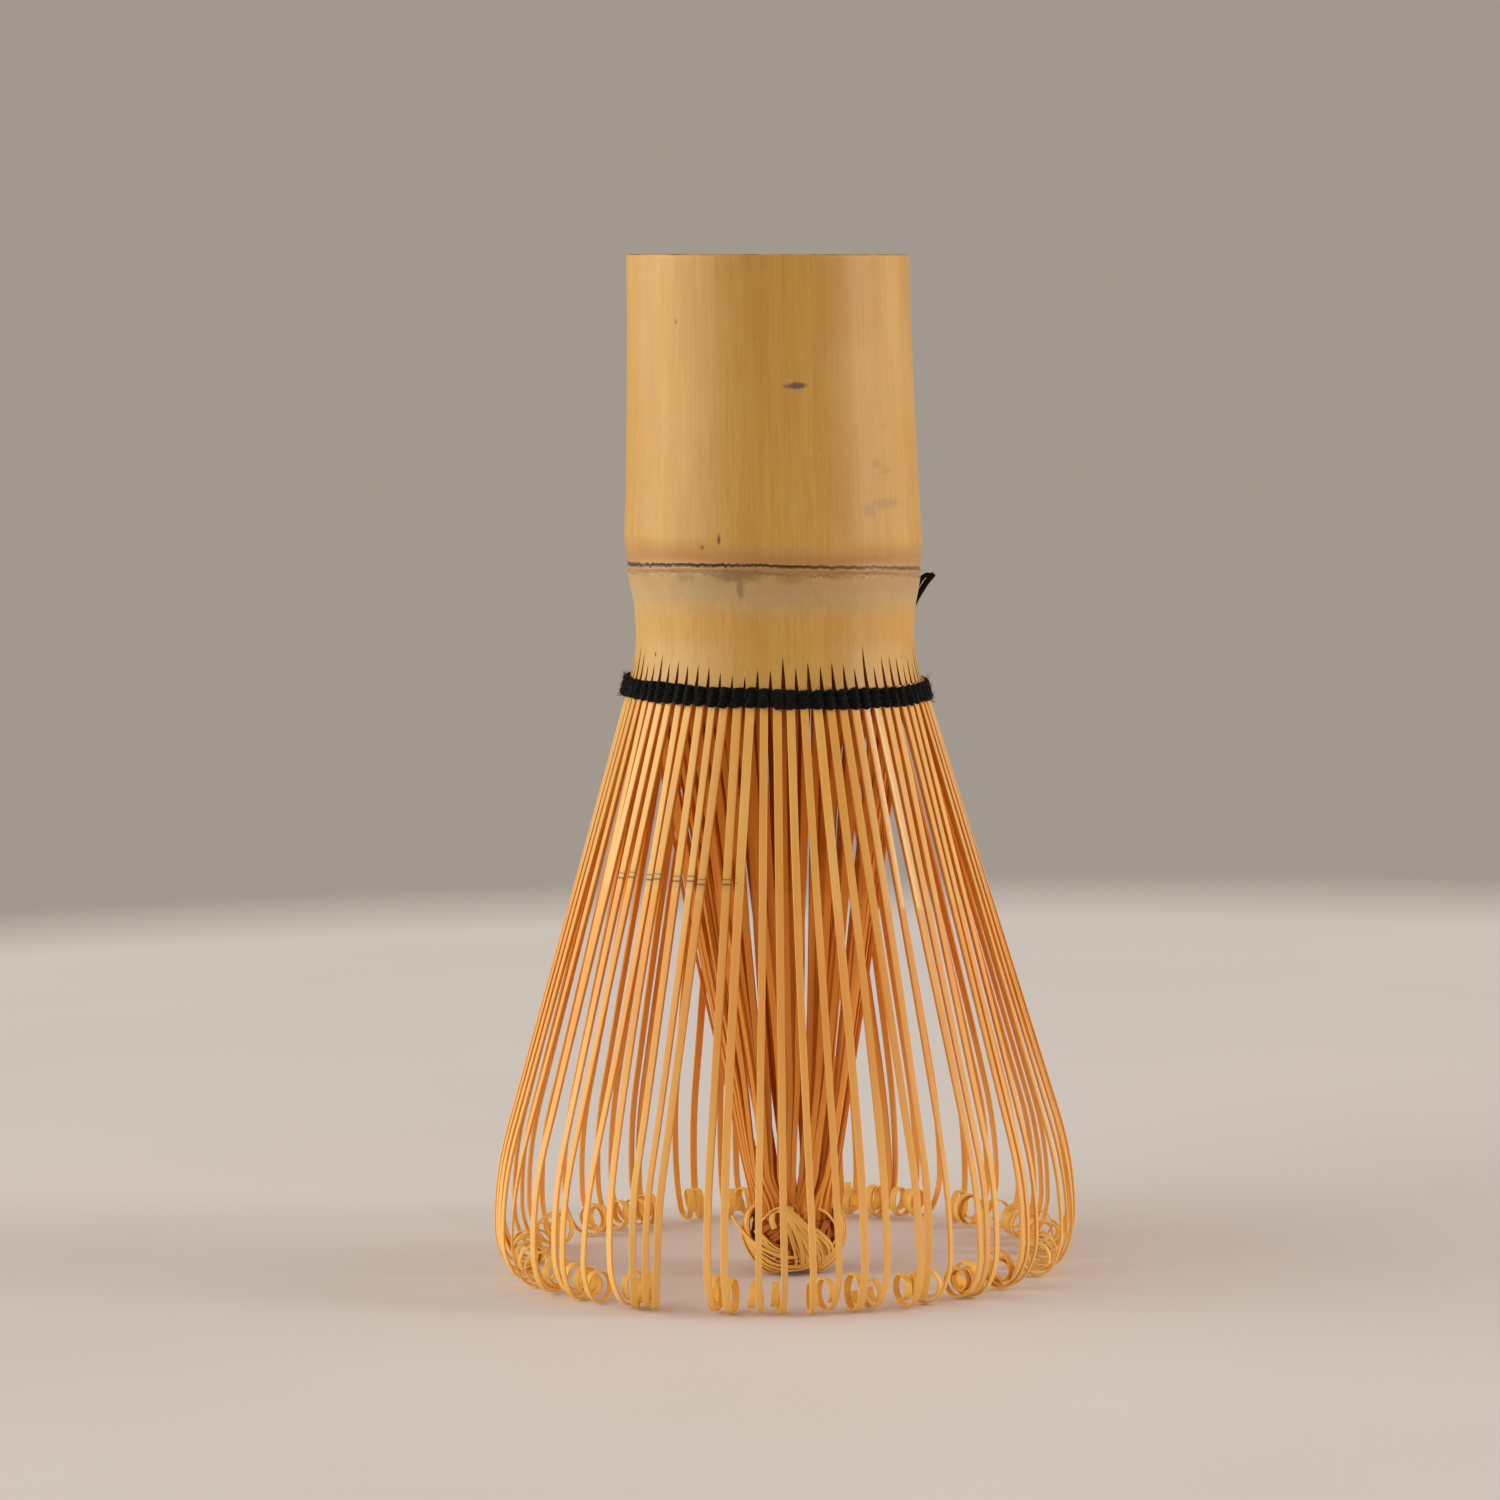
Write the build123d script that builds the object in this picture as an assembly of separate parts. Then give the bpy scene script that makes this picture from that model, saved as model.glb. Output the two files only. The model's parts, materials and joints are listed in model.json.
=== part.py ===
"""Bamboo tea whisk (chasen), standing on its tines.

One bamboo culm, cut just above a node, is left whole as the handle and split below the node
into 72 outer and 72 inner tines. A black thread is woven round the roots of the outer tines,
and the tips of the inner tines are twisted together into a bun.

Millimetres. The origin is on the floor under the handle's axis, +Z runs up the handle, and
-Y is the front of the whisk. The outer tines are cut into sectors of four, and each sector
springs about a hinge line at the thread's lower edge.
"""
import math
import os

from build123d import *

# Overall
HEIGHT = 105.5
TINE_COUNT = 72
SECTOR_COUNT = 18
TINES_PER_SECTOR = TINE_COUNT // SECTOR_COUNT
TINE_PITCH = 360.0 / TINE_COUNT
FRONT_AZIMUTH = -90.0

# Handle: the tube above the node, the node itself and the collar that the tines grow from
RIM_RADIUS = 14.6
RIM_CHAMFER = 0.35
BORE_RADIUS = 11.6
SEPTUM_TOP = 75.4
SEPTUM_BOTTOM = 73.6
TUBE_SIDE = ((14.82, 92.0), (15.18, 81.0))
SWELL_RADIUS = 15.46
SWELL_HEIGHT = 76.4
SWELL_FOOT = (15.28, 74.4)
SCAR_RADIUS = 15.32
SCAR_HEIGHT = 72.5
SCAR_HALF_HEIGHT = 0.45
SCAR_TOP_STEP = 0.12
SCAR_FOOT_STEP = 0.14
NECK_SIDE = (14.7, 69.6)
WAIST_RADIUS = 14.45
WAIST_HEIGHT = 66.0
COLLAR_HEIGHT = 63.2
COLLAR_RADIUS = 14.68
COLLAR_INNER_RADIUS = 13.3
SEPTUM_UNDERSIDE_RADIUS = 11.2

# Outer tines: a straight flare, a slow bend to vertical, a foot and a curl of one and a bit turns
TINE_THICKNESS = 0.36
TINE_TOP_WIDTH = 0.82
TINE_FOOT_WIDTH = 0.62
FLARE_ANGLE = 16.6
HINGE_HEIGHT = 59.35
HINGE_RADIUS = 15.58
HINGE_GAP = 0.14
SHOULDER_BEND_RADIUS = 36.9
SHOULDER_END_HEIGHT = 4.83
ANKLE_RADIUS = 7.0
ANKLE_TURN = 30.0
FOOT_RADIUS = 2.3
CURL_RADII = ((1.7, 180.0), (1.3, 90.0), (1.2, 90.0))
TAPER_REACH = 35.0
TAPER_FOOT_HEIGHT = -1.0

# Roots of the outer tines, between the collar and the hinge line
ROOT_TOP_WIDTH = 1.15

# Inner tines, a cone from the collar down to the bun
INNER_TOP_RADIUS = 13.65
INNER_FOOT_RADIUS = 4.95
INNER_TOP_WIDTH = 0.60
INNER_FOOT_WIDTH = 0.36
INNER_THICKNESS = 0.36

# Bun of twisted tips, a little in front of the axis
BUN_X = 0.7
BUN_Y = -4.0
BUN_TOP = 7.6
BUN_BOTTOM = 0.3
BUN_TOP_RADIUS = 5.2
BUN_FLOOR_RADIUS = 2.6
BUN_CREASES = ((4.2, 1.4), (4.95, 3.1), (5.1, 4.6), (5.1, 6.1))
BUN_STRAND_BULGE = 0.35

# Thread: three rounds, each with a strand outside and a strand inside the tine roots
THREAD_ROWS = ("lower", "middle", "upper")
THREAD_MIDDLE_HEIGHT = 60.55
THREAD_PITCH = 0.72
THREAD_ROW_HEIGHT = 0.68
THREAD_PROUD = 0.42
THREAD_CLEARANCE = 0.02
THREAD_DIAMETER = 0.45
KNOT_AZIMUTH = 34.0
KNOT_RADIUS = 0.85
KNOT_CLEARANCE = 0.08

# Cut ends of the thread, from the knot: (radius, azimuth, height) down the list, then the bends
LONG_END = ((16.0, 33.0, 62.48), (15.4, 29.0, 66.0), (15.6, 18.0, 69.2), (17.5, 11.0, 72.0))
LONG_END_BENDS = (3.0, 3.0)
SHORT_END = ((15.95, 35.5, 62.48), (15.45, 33.0, 66.6), (16.1, 20.0, 71.4), (17.0, 15.0, 72.4))
SHORT_END_BENDS = (3.0, 1.5)


def polar(radius, azimuth, height):
    """A point at a radius and azimuth (degrees) about the handle's axis."""
    angle = math.radians(azimuth)
    return Vector(radius * math.cos(angle), radius * math.sin(angle), height)


def flare_radius(height):
    """Radius of the middle of an outer tine on its straight flare."""
    return HINGE_RADIUS + (HINGE_HEIGHT - height) * math.tan(math.radians(FLARE_ANGLE))


def flare_half_section():
    """Half of a tine's thickness, measured level instead of square to the flare."""
    return TINE_THICKNESS / 2 / math.cos(math.radians(FLARE_ANGLE))


def tine_azimuth(index):
    """Azimuth of an outer tine. Tine 0 is in the middle of the front."""
    return FRONT_AZIMUTH + index * TINE_PITCH


def tines_of_sector(sector):
    """The four tine numbers of a sector, whose middle is half a pitch past a tine."""
    first = sector * TINES_PER_SECTOR - 1
    return range(first, first + TINES_PER_SECTOR)


def handle_culm():
    """Tube, node with its septum, and collar, as one turned shape."""
    rim = (RIM_RADIUS, HEIGHT - RIM_CHAMFER)
    swell = (SWELL_RADIUS, SWELL_HEIGHT)
    scar_top = (SCAR_RADIUS - SCAR_TOP_STEP, SCAR_HEIGHT + SCAR_HALF_HEIGHT)
    scar_foot = (SCAR_RADIUS - SCAR_FOOT_STEP, SCAR_HEIGHT - SCAR_HALF_HEIGHT)
    collar = (COLLAR_RADIUS, COLLAR_HEIGHT)
    tube_side = Spline(rim, *TUBE_SIDE, swell)
    swell_side = Spline(swell, SWELL_FOOT, scar_top)
    scar = ThreePointArc(scar_top, (SCAR_RADIUS, SCAR_HEIGHT), scar_foot)
    neck = Spline(scar_foot, NECK_SIDE, (WAIST_RADIUS, WAIST_HEIGHT), collar)
    inside = Polyline(
        collar,
        (COLLAR_INNER_RADIUS, COLLAR_HEIGHT),
        (SEPTUM_UNDERSIDE_RADIUS, SEPTUM_BOTTOM),
        (0.0, SEPTUM_BOTTOM),
        (0.0, SEPTUM_TOP),
        (BORE_RADIUS, SEPTUM_TOP),
        (BORE_RADIUS, HEIGHT - RIM_CHAMFER),
        (BORE_RADIUS + RIM_CHAMFER, HEIGHT),
        (RIM_RADIUS - RIM_CHAMFER, HEIGHT),
        rim,
    )
    outline = make_face([tube_side, swell_side, scar, neck, inside])
    return revolve(Plane.XZ * outline, Axis.Z)


def level_rectangle(radius, azimuth, height, depth, width, centre=(0.0, 0.0)):
    """A level rectangle, deep along the radius and wide across it."""
    place = Plane(
        origin=polar(radius, azimuth, height) + Vector(*centre, 0),
        x_dir=polar(1, azimuth, 0),
        z_dir=(0, 0, 1),
    )
    return place * Rectangle(depth, width)


def straight_tine(top, foot):
    """A straight tapered bar between two level rectangles."""
    return loft([top, foot], ruled=True)


def outer_tine_root(index):
    """The part of an outer tine that the thread holds, wide at the collar and split below."""
    azimuth = tine_azimuth(index)
    depth = 2 * flare_half_section()
    foot_height = HINGE_HEIGHT + HINGE_GAP / 2
    top_radius = flare_radius(COLLAR_HEIGHT)
    top = level_rectangle(top_radius, azimuth, COLLAR_HEIGHT, depth, ROOT_TOP_WIDTH)
    foot = level_rectangle(flare_radius(foot_height), azimuth, foot_height, depth, TINE_TOP_WIDTH)
    return straight_tine(top, foot)


def tine_side(offset):
    """One side of the tine's strip, offset outward from its middle line.

    The line is followed down from the hinge. The heading is measured from straight down, and
    grows as the tine turns in towards the axis. Returns the edges and their first and last points.
    """
    def ahead(angle):
        return Vector(-math.sin(angle), 0, -math.cos(angle))

    def outward(angle):
        return Vector(math.cos(angle), 0, -math.sin(angle))

    heading = -math.radians(FLARE_ANGLE)
    top = HINGE_HEIGHT - HINGE_GAP / 2
    bend_start = SHOULDER_END_HEIGHT + SHOULDER_BEND_RADIUS * math.sin(math.radians(FLARE_ANGLE))
    point = Vector(flare_radius(top), 0, top) + outward(heading) * offset
    bend = Vector(flare_radius(bend_start), 0, bend_start) + outward(heading) * offset
    first = point
    edges = [Edge.make_line(point, bend)]
    point = bend
    foot_turn = 90.0 - ANKLE_TURN
    arcs = ((SHOULDER_BEND_RADIUS, FLARE_ANGLE), (ANKLE_RADIUS, ANKLE_TURN), (FOOT_RADIUS, foot_turn))
    for radius, turn in arcs + CURL_RADII:
        centre = point - outward(heading) * (radius + offset)
        middle = centre + outward(heading + math.radians(turn) / 2) * (radius + offset)
        heading += math.radians(turn)
        end = centre + outward(heading) * (radius + offset)
        edges.append(Edge.make_three_point_arc(point, middle, end))
        point = end
    return edges, first, point


def outer_tine():
    """One whole outer tine below the hinge, at azimuth 0."""
    outside, outside_top, outside_tip = tine_side(TINE_THICKNESS / 2)
    inside, inside_top, inside_tip = tine_side(-TINE_THICKNESS / 2)
    ends = [Edge.make_line(outside_top, inside_top), Edge.make_line(outside_tip, inside_tip)]
    strip = Face(Wire(outside + inside + ends))
    blade = extrude(strip, amount=TINE_TOP_WIDTH, dir=(0, 1, 0), both=True)
    taper = Plane.YZ * Polygon(
        (-TINE_TOP_WIDTH / 2, HINGE_HEIGHT),
        (TINE_TOP_WIDTH / 2, HINGE_HEIGHT),
        (TINE_FOOT_WIDTH / 2, TAPER_FOOT_HEIGHT),
        (-TINE_FOOT_WIDTH / 2, TAPER_FOOT_HEIGHT),
        align=None,
    )
    return blade & extrude(taper, amount=TAPER_REACH, dir=(1, 0, 0))


def inner_tine(index):
    """One inner tine, half a pitch beside its outer tine."""
    azimuth = tine_azimuth(index + 0.5)
    top = level_rectangle(
        INNER_TOP_RADIUS, azimuth, COLLAR_HEIGHT, INNER_THICKNESS, INNER_TOP_WIDTH
    )
    foot = level_rectangle(
        INNER_FOOT_RADIUS, azimuth, BUN_TOP, INNER_THICKNESS, INNER_FOOT_WIDTH, (BUN_X, BUN_Y)
    )
    return straight_tine(top, foot)


def tip_bun():
    """The inner tines' tips, twisted into a bun of strands wound one above the other."""
    creases = ((BUN_FLOOR_RADIUS, BUN_BOTTOM),) + BUN_CREASES + ((BUN_TOP_RADIUS, BUN_TOP),)
    outline = [Polyline(creases[-1], (0, BUN_TOP), (0, BUN_BOTTOM), creases[0])]
    for low, high in zip(creases, creases[1:]):
        chord = Vector(*high) - Vector(*low)
        outward = Vector(chord.Y, -chord.X).normalized() * BUN_STRAND_BULGE
        middle = (Vector(*low) + Vector(*high)) / 2 + outward
        outline.append(ThreePointArc(low, middle, high))
    bun = revolve(Plane.XZ * make_face(outline), Axis.Z)
    return Pos(BUN_X, BUN_Y, 0) * bun


def thread_ring(height, side):
    """One strand of one round, a D-section ring against the outside or inside of the roots."""
    low = height - THREAD_ROW_HEIGHT / 2
    high = height + THREAD_ROW_HEIGHT / 2
    reach = flare_half_section() + THREAD_CLEARANCE

    def against(level, proud=0.0):
        return flare_radius(level) + side * (reach + proud), level

    section = make_face([
        Line(against(low), against(high)),
        ThreePointArc(against(high), against(height, THREAD_PROUD), against(low)),
    ])
    return revolve(Plane.XZ * section, Axis.Z)


def thread_row(row):
    """One round of the thread: the outer and the inner strand."""
    height = THREAD_MIDDLE_HEIGHT + (row - 1) * THREAD_PITCH
    return [thread_ring(height, side) for side in (1, -1)]


def knot_ball():
    """The knot that ends the thread, a ball on the upper round against the tine roots."""
    height = THREAD_MIDDLE_HEIGHT + THREAD_PITCH * len(THREAD_ROWS) / 2 + KNOT_RADIUS / 2
    radius = flare_radius(height) + flare_half_section() + KNOT_RADIUS + KNOT_CLEARANCE
    return Pos(*polar(radius, KNOT_AZIMUTH, height)) * Sphere(KNOT_RADIUS)


def thread_end(places, bends):
    """A cut end of the thread, which rises from the knot and leans out beside the scar."""
    route = FilletPolyline(*(polar(*place) for place in places), radius=bends)
    start = Plane(origin=route @ 0, z_dir=route % 0)
    return sweep(start * Circle(THREAD_DIAMETER / 2), path=route)


def save(name, solids):
    """Write one node: a solid, or a group of separate solids."""
    pieces = solids if isinstance(solids, list) else [solids]
    shapes = [solid for piece in pieces for solid in piece.solids()]
    node = shapes[0] if len(shapes) == 1 else Compound(children=shapes)
    node.label = name
    export_step(node, f"parts/{name}.step")
    return shapes


def main():
    os.makedirs("parts", exist_ok=True)
    handle = handle_culm()
    save("handle_culm", handle)
    save("outer_tine_roots", [outer_tine_root(index) for index in range(TINE_COUNT)])

    blade = outer_tine()
    for sector in range(SECTOR_COUNT):
        numbers = tines_of_sector(sector)
        outer = [Rot(0, 0, tine_azimuth(index)) * blade for index in numbers]
        save(f"outer_tines_{sector + 1:02d}", outer)
        save(f"inner_tines_{sector + 1:02d}", [inner_tine(index) for index in numbers])

    save("tip_bun", tip_bun())
    rows = {}
    for row, name in enumerate(THREAD_ROWS):
        rows[name] = thread_row(row)
        save(f"thread_row_{name}", rows[name])
    knot = knot_ball() - rows["upper"][0]
    save("thread_knot", knot)
    ends = ((LONG_END, LONG_END_BENDS), (SHORT_END, SHORT_END_BENDS))
    save("thread_tail", [thread_end(*end) - knot_ball() for end in ends])


if __name__ == "__main__":
    main()
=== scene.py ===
"""Looks of the bamboo tea whisk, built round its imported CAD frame.

Lengths below are millimetres, and MM turns them into the frame's metres. Azimuths are degrees
about the handle's axis, counted from the front (-Y) towards +X.
"""
import json
import math
import random

import bmesh
import bpy
import numpy as np
from mathutils import Euler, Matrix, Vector

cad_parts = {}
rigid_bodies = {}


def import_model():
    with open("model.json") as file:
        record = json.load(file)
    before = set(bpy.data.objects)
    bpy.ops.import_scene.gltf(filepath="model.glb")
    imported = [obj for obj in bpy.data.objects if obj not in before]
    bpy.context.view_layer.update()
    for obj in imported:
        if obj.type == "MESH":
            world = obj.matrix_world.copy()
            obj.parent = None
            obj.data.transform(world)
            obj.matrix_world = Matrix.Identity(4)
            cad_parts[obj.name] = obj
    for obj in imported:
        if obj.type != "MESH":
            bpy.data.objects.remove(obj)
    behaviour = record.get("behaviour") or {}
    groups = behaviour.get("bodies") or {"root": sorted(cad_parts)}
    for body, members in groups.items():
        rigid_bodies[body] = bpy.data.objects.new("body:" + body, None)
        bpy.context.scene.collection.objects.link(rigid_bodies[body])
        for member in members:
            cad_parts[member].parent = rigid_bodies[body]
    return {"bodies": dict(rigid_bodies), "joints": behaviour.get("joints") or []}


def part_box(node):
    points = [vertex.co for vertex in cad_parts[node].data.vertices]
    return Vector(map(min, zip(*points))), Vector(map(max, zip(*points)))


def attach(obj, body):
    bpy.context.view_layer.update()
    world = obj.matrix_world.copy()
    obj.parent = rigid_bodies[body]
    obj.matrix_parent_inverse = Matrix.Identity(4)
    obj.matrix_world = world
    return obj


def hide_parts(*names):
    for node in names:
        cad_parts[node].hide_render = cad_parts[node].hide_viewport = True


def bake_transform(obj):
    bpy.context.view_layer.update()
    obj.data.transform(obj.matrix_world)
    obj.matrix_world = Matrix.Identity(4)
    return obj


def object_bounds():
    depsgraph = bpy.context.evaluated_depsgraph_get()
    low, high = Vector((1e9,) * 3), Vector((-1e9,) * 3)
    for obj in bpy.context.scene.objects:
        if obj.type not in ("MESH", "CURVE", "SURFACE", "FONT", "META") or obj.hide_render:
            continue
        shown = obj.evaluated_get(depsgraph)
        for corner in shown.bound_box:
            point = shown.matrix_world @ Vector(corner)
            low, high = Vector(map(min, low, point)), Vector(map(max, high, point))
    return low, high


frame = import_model()
cad_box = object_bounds()

MM = 0.001
CORE = "whisk_core"
SEED = 20

# Driving sizes, read from the frame
HEIGHT = cad_box[1][2] / MM
ROW_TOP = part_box("thread_row_upper")[1][2] / MM
ROW_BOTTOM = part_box("thread_row_lower")[0][2] / MM
HINGE = frame["joints"][0]["pos_m"]
HINGE_HEIGHT = HINGE[2] / MM
SECTORS = sorted(name for name in frame["bodies"] if name != CORE)
TINES_PER_SECTOR = 4
TINE_COUNT = TINES_PER_SECTOR * len(SECTORS)
PITCH = 360.0 / TINE_COUNT
FLARE_DEGREES = 16.6
FLARE_SLOPE = math.tan(math.radians(FLARE_DEGREES))
FLARE_RADIUS_AT_HINGE = 15.58
TINE_THICKNESS = 0.36


# ---------------------------------------------------------------- geometry helpers

def turn(azimuth):
    """Unit vectors (outward, sideways) in plan at an azimuth from the front."""
    angle = math.radians(azimuth)
    outward = np.array([math.sin(angle), -math.cos(angle), 0.0])
    sideways = np.array([math.cos(angle), math.sin(angle), 0.0])
    return outward, sideways


def polar(r, angle, height):
    """Points at a radius, an angle in radians from the front towards +X, and a height."""
    return np.stack(np.broadcast_arrays(r * np.sin(angle), -r * np.cos(angle), height), axis=-1)


def unit(vectors):
    return vectors / np.linalg.norm(vectors, axis=-1, keepdims=True)


def distance_along(path):
    return np.concatenate([[0.0], np.cumsum(np.linalg.norm(np.diff(path, axis=0), axis=1))])


def smooth_curve(points, x):
    """A smooth curve through (x, y) points, given in rising or falling x."""
    px, py = np.array(sorted(points), float).T
    slope = np.gradient(py, px)
    x = np.clip(x, px[0], px[-1])
    i = np.clip(np.searchsorted(px, x) - 1, 0, len(px) - 2)
    step = px[i + 1] - px[i]
    t = (x - px[i]) / step
    h00 = 2 * t**3 - 3 * t**2 + 1
    h10 = t**3 - 2 * t**2 + t
    h01 = -2 * t**3 + 3 * t**2
    h11 = t**3 - t**2
    return h00 * py[i] + h10 * step * slope[i] + h01 * py[i + 1] + h11 * step * slope[i + 1]


def spline(points, count):
    """Points along a smooth curve through a few chosen points."""
    points = np.array(points, float)
    knots = np.arange(len(points))
    fine = np.linspace(0, len(points) - 1, count)
    return np.stack([smooth_curve(list(zip(knots, points[:, i])), fine) for i in range(3)], axis=1)


def smooth_step(x, low, high):
    t = np.clip((x - low) / (high - low), 0.0, 1.0)
    return t * t * (3 - 2 * t)


def flare_radius(height):
    """Radius of the outer tines' middle where they flare out under the neck."""
    return FLARE_RADIUS_AT_HINGE + (HINGE_HEIGHT - height) * FLARE_SLOPE


def new_object(name, data):
    """A new object in the scene, made of a mesh, a light or a camera."""
    made = bpy.data.objects.new(name, data)
    bpy.context.scene.collection.objects.link(made)
    return made


class MeshBuilder:
    """Collects points, faces and the fibre attribute of one piece."""

    def __init__(self):
        self.points = []
        self.fibres = []
        self.faces = []
        self.materials = []
        self.count = 0

    def add_grid(self, points, fibres, material=0, **closing):
        """Adds rows of points. material is one index for all the faces, or a list with one for each."""
        rows, columns = points.shape[:2]
        faces = grid_faces(rows, columns, **closing)
        self.points.append(points.reshape(-1, 3))
        self.fibres.append(fibres.reshape(-1, 3))
        self.faces.extend(tuple(corner + self.count for corner in face) for face in faces)
        self.materials.extend(material if isinstance(material, list) else [material] * len(faces))
        self.count += rows * columns

    def build(self, name, materials, sharp_degrees=None, weld=0.0):
        mesh = bpy.data.meshes.new(name)
        mesh.from_pydata((np.concatenate(self.points) * MM).tolist(), [], self.faces)
        for material in materials:
            mesh.materials.append(material)
        mesh.polygons.foreach_set("material_index", self.materials)
        mesh.polygons.foreach_set("use_smooth", [True] * len(mesh.polygons))
        fibre = mesh.attributes.new("fibre", "FLOAT_VECTOR", "POINT")
        fibre.data.foreach_set("vector", np.concatenate(self.fibres).ravel())
        rest = mesh.attributes.new("rest", "FLOAT_VECTOR", "POINT")
        rest.data.foreach_set("vector", np.concatenate(self.points).ravel())
        piece = new_object(name, mesh)
        clean(piece, weld, sharp_degrees)
        return piece


def stand_in(piece, slot, *nodes):
    """Fixes a piece to the core, in place of the CAD nodes that it details."""
    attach(piece, CORE)
    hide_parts(*nodes)


def clean(piece, weld, sharp_degrees):
    """Welds doubled points, points the faces outward and marks the sharp edges."""
    work = bmesh.new()
    work.from_mesh(piece.data)
    if weld:
        bmesh.ops.remove_doubles(work, verts=work.verts, dist=weld * MM)
        bmesh.ops.dissolve_degenerate(work, edges=work.edges, dist=weld * MM)
    bmesh.ops.recalc_face_normals(work, faces=work.faces)
    work.to_mesh(piece.data)
    work.free()
    if sharp_degrees:
        piece.data.set_sharp_from_angle(angle=math.radians(sharp_degrees))


def grid_faces(rows, columns, around=False, looped=False, capped=False):
    """Quads between rows of points: closed around each row, looped from last to first, capped."""
    faces = []
    for row in range(rows if looped else rows - 1):
        here = row * columns
        following = (row + 1) % rows * columns
        for c in range(columns if around else columns - 1):
            d = (c + 1) % columns
            faces.append((here + c, here + d, following + d, following + c))
    if capped:
        faces += [tuple(range(columns)), tuple((rows - 1) * columns + i for i in range(columns))]
    return faces


def ribbon(
    builder, path, outward, width, thickness, fibre_id, chamfer=0.03, crown=0.008, sides=(0, 1)
):
    """A bamboo strip along a path. sides are the materials of its outward side and of the rest."""
    tangent = unit(np.gradient(path, axis=0))
    outward = unit(outward - tangent * np.sum(outward * tangent, axis=1, keepdims=True))
    side = np.cross(tangent, outward)
    w = (np.broadcast_to(width, len(path)) / 2)[:, None]
    t = (np.broadcast_to(thickness, len(path)) / 2)[:, None]
    c = np.minimum(chamfer, t * 0.4)
    across = np.hstack([0 * w, w - c, w, w, w - c, 0 * w, c - w, -w, -w, c - w])
    above = np.hstack([t + crown, t, t - c, c - t, -t, -t, -t, c - t, t - c, t])
    ring = path[:, None] + side[:, None] * across[:, :, None] + outward[:, None] * above[:, :, None]
    along = distance_along(path)[:, None]
    fibres = np.stack(np.broadcast_arrays(across, along, fibre_id), axis=2)
    skin, rest = sides
    ring_materials = [skin, skin] + [rest] * 6 + [skin, skin]
    materials = ring_materials * (len(path) - 1) + [rest] * 2
    builder.add_grid(ring, fibres, materials, around=True, capped=True)


def tube(builder, path, radius, fibre_id, sides=8, flat=1.0, reference=(0, 0, 1), looped=False):
    """A round strand along a path, or an oval one where flat gives its height over its depth."""
    tangent = np.gradient(path, axis=0)
    if looped:
        tangent = np.roll(path, -1, axis=0) - np.roll(path, 1, axis=0)
    tangent = unit(tangent)
    first = unit(np.cross(np.broadcast_to(reference, path.shape), tangent))
    second = np.cross(tangent, first)
    angle = np.arange(sides) * 2 * math.pi / sides
    radius = np.broadcast_to(radius, len(path))[:, None]
    depth = radius * np.cos(angle)
    rise = radius * np.sin(angle) * flat
    ring = path[:, None] + first[:, None] * depth[:, :, None] + second[:, None] * rise[:, :, None]
    fibres = np.stack(np.broadcast_arrays(angle, distance_along(path)[:, None], fibre_id), axis=2)
    builder.add_grid(ring, fibres, around=True, looped=looped, capped=not looped)


# ---------------------------------------------------------------- material helpers

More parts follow.
